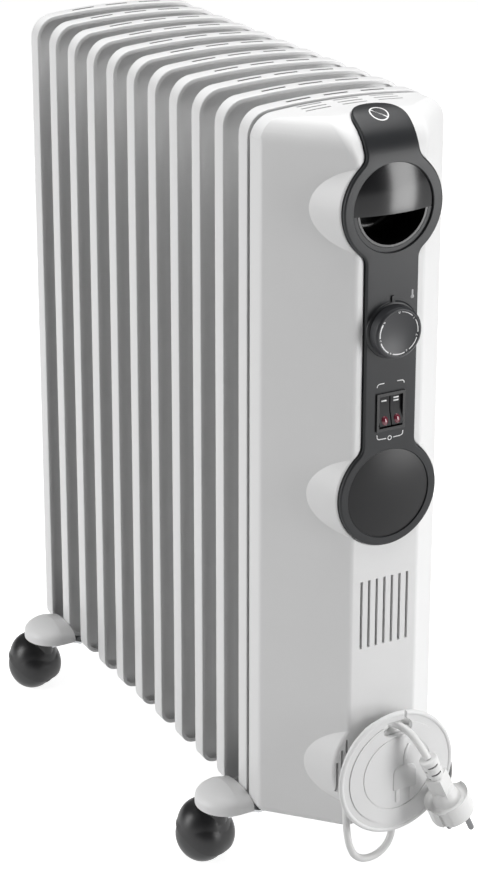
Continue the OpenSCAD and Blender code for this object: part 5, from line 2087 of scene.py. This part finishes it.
@dataclass
class Castor:
    """Twin-wheel castor with a domed hood, built about its own axle."""

    where: str
    tread_r: float = 22.0
    half: float = 21.0
    over: float = 2.0
    clear: float = 1.1
    web: float = 2.2
    wheel_in: float = 2.6
    bore_r: float = 2.56
    bore_l: float = 19.4
    axle_gap: float = 1.2
    power: float = 2.6
    slant: float = 28.0
    slant_up: float = 2.0

    def frame_of(self) -> tuple[Vector, Vector, Vector, Vector]:
        """The frame that the castor is built in.

        Returns:
            Middle of the axle, direction to the stem, direction of the axle, and the stem's foot.
        """
        ends = {j["child"]: Vector(j["pos_m"]) / MM for j in frame["joints"]}
        axle, stem = ends[f"wheel_{self.where}_out"], ends[f"castor_{self.where}"]
        ahead = (stem - axle).to_2d().to_3d().normalized()
        return axle, ahead, Vector((0, 0, 1)).cross(ahead), stem

    def dome(self, grow: float, start: float, steps: int = 14) -> list[Pair]:
        """Half of the domed outline, from a distance off the middle to the end.

        Args:
            grow: how far it is grown.
            start: distance off the middle where it starts.
            steps: number of steps.

        Returns:
            (radius, distance off the middle) pairs.
        """
        r, l = self.tread_r + grow, self.half + grow
        spots = [start + (l - start) * math.sin(math.pi / 2 * i / steps) for i in range(steps + 1)]
        return [(r * max(0.0, 1 - (t / l) ** self.power) ** (1 / self.power), t) for t in spots]

    def build(self) -> None:
        """Builds the hood with its stem, and both wheels."""
        axle, ahead, side, stem = self.frame_of()
        up = Vector((0, 0, 1))
        put = lambda u, v, h: tuple(axle + up * u + ahead * v + side * h)
        both = lambda half: [(r, -t) for r, t in reversed(half)] + half[1:]
        body = f"castor_{self.where}"
        hood = turned(f"hood_{self.where}", both(self.dome(self.over, 0.0)), 72, put, CASTOR, 35)
        neck = lambda r, low, high: turned("neck",
                                           [(0, low), (r, low), (r, high - 0.6), (r - 0.6, high), (0, high)],
                                           40, about_z(stem.x, stem.y, 0), CASTOR)
        top, low, wide = stem.z - self.axle_gap, -6.0, self.tread_r + self.over - 1.2
        tall = top - axle.z
        bell = [(0.0, low), (wide, low), (wide, 0.0)] + [
            (wide * (1 - t ** self.power) ** (1 / self.power), tall * t)
            for t in [math.sin(math.pi / 2 * i / 14) for i in range(1, 15)]]
        combine(hood,
                turned("bell", bell, 72, lambda u, v, h: tuple(axle + ahead * u + side * v + up * h), CASTOR),
                "UNION", 35)
        combine(hood, self.slab(axle, ahead, side, 0.0), "DIFFERENCE", 35)
        combine(hood, neck(9.0, self.tread_r + 8, stem.z), "UNION", 35)
        combine(hood, turned("inside", both(self.dome(self.clear, 0.0)), 72, put, CASTOR), "DIFFERENCE", 35)
        w, r = self.web, self.tread_r + self.over - 0.5
        web = turned("web", [(0, -w), (r, -w), (r, w), (0, w)], 64, put, CASTOR)
        combine(web, self.slab(axle, ahead, side, -1.0), "DIFFERENCE", 35)
        combine(web, turned("boss", [(0, -w), (8, -w), (8, w), (0, w)], 40, put, CASTOR), "UNION", 35)
        combine(web,
                turned("bore", [(0, -w - 1), (self.bore_r, -w - 1), (self.bore_r, w + 1), (0, w + 1)], 40,
                       put, CASTOR), "DIFFERENCE", 35)
        combine(hood, web, "UNION", 35)
        combine(hood, neck(5.0, stem.z - 4, span(body)[1][2]), "UNION", 35)
        weigh(hood)
        settle(hood, body, Slot.CASTOR, body)
        for end in ("out", "in"):
            node = f"wheel_{self.where}_{end}"
            low, high = span(node)
            middle = Vector([(a + b) / 2 for a, b in zip(low, high)])
            way = 1 if (middle - axle).dot(side) > 0 else -1
            rim = self.dome(0.0, self.wheel_in + 0.8, 18)
            profile = [(0, self.bore_l), (self.bore_r, self.bore_l), (self.bore_r, self.wheel_in),
                       (rim[0][0] - 0.8, self.wheel_in)] + rim
            profile = [(r, way * t) for r, t in profile]
            wheel = turned(f"tyre_{self.where}_{end}", profile if way > 0 else profile[::-1], 72, put, WHEEL,
                           35)
            settle(wheel, node, Slot.WHEEL, node)

    def slab(self, axle: Vector, ahead: Vector, side: Vector, lift: float) -> Piece:
        """Everything below the slanted lower edge of the hood.

        Args:
            axle: middle of the axle.
            ahead: direction to the stem.
            side: direction of the axle.
            lift: how far it is moved up.

        Returns:
            The piece.
        """
        c, s = math.cos(math.radians(self.slant)), math.sin(math.radians(self.slant))
        start = axle + Vector((0, 0, self.slant_up + lift))
        def spot(x: float, y: float, z: float) -> Point:
            """Point of the block, in its own slanted frame."""
            return tuple(start + ahead * (x * c + z * s) + Vector((0, 0, 1)) * (z * c - x * s) + side * y)
        return solid("slab",
                     [[spot(x, y, z) for x, y in ((-50, -50), (50, -50), (50, 50), (-50, 50))]
                      for z in (-100, 0)], PAINTED_SHADE)


@dataclass
class Feet:
    """Brackets, wing covers and castors."""

    crown: float = 0.28
    clear_y: float = 83.0
    fade: float = 10.0

    def raise_crown(self, mesh: bpy.types.Mesh) -> None:
        """Raises the part of a cover that stands out beside the fins.

        Args:
            mesh: the cover's mesh, which changes.
        """
        low = min(v.co.z for v in mesh.vertices)
        for vertex in mesh.vertices:
            share = smoothstep((abs(vertex.co.y) / MM - self.clear_y) / self.fade)
            vertex.co.z += (vertex.co.z - low) * self.crown * share

    def build(self) -> None:
        """Builds the covers and castors and dresses the brackets."""
        for node in ("foot_bracket_rear", "foot_bracket_front", "foot_clamps"):
            dress(node, ZINC)
        for row in ("rear", "front"):
            for side in ("left", "right"):
                where = f"{row}_{side}"
                cover = smooth_copy(f"wing_{where}", f"cover_{where}", HOUSING)
                self.raise_crown(cover.data)
                settle(cover, Body.HEATER, Slot.HOUSING, f"wing_{where}")
                dress(f"axle_{where}", AXLE)
                Castor(where).build()


# --- main


def main() -> None:
    """Builds the studio, the cord and all the pieces in order."""
    logging.basicConfig(level=logging.INFO, format="%(message)s")
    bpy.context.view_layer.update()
    place = Layout.read()
    Studio().build()
    for part in (CordWrap(place), Plug(MainsCord(place).centre()[-1]), MainsCord(place), FinStack(place),
                 ControlHousing(place), Knob(place), Switches(place), Feet()):
        part.build()


if __name__ == "__main__":
    main()
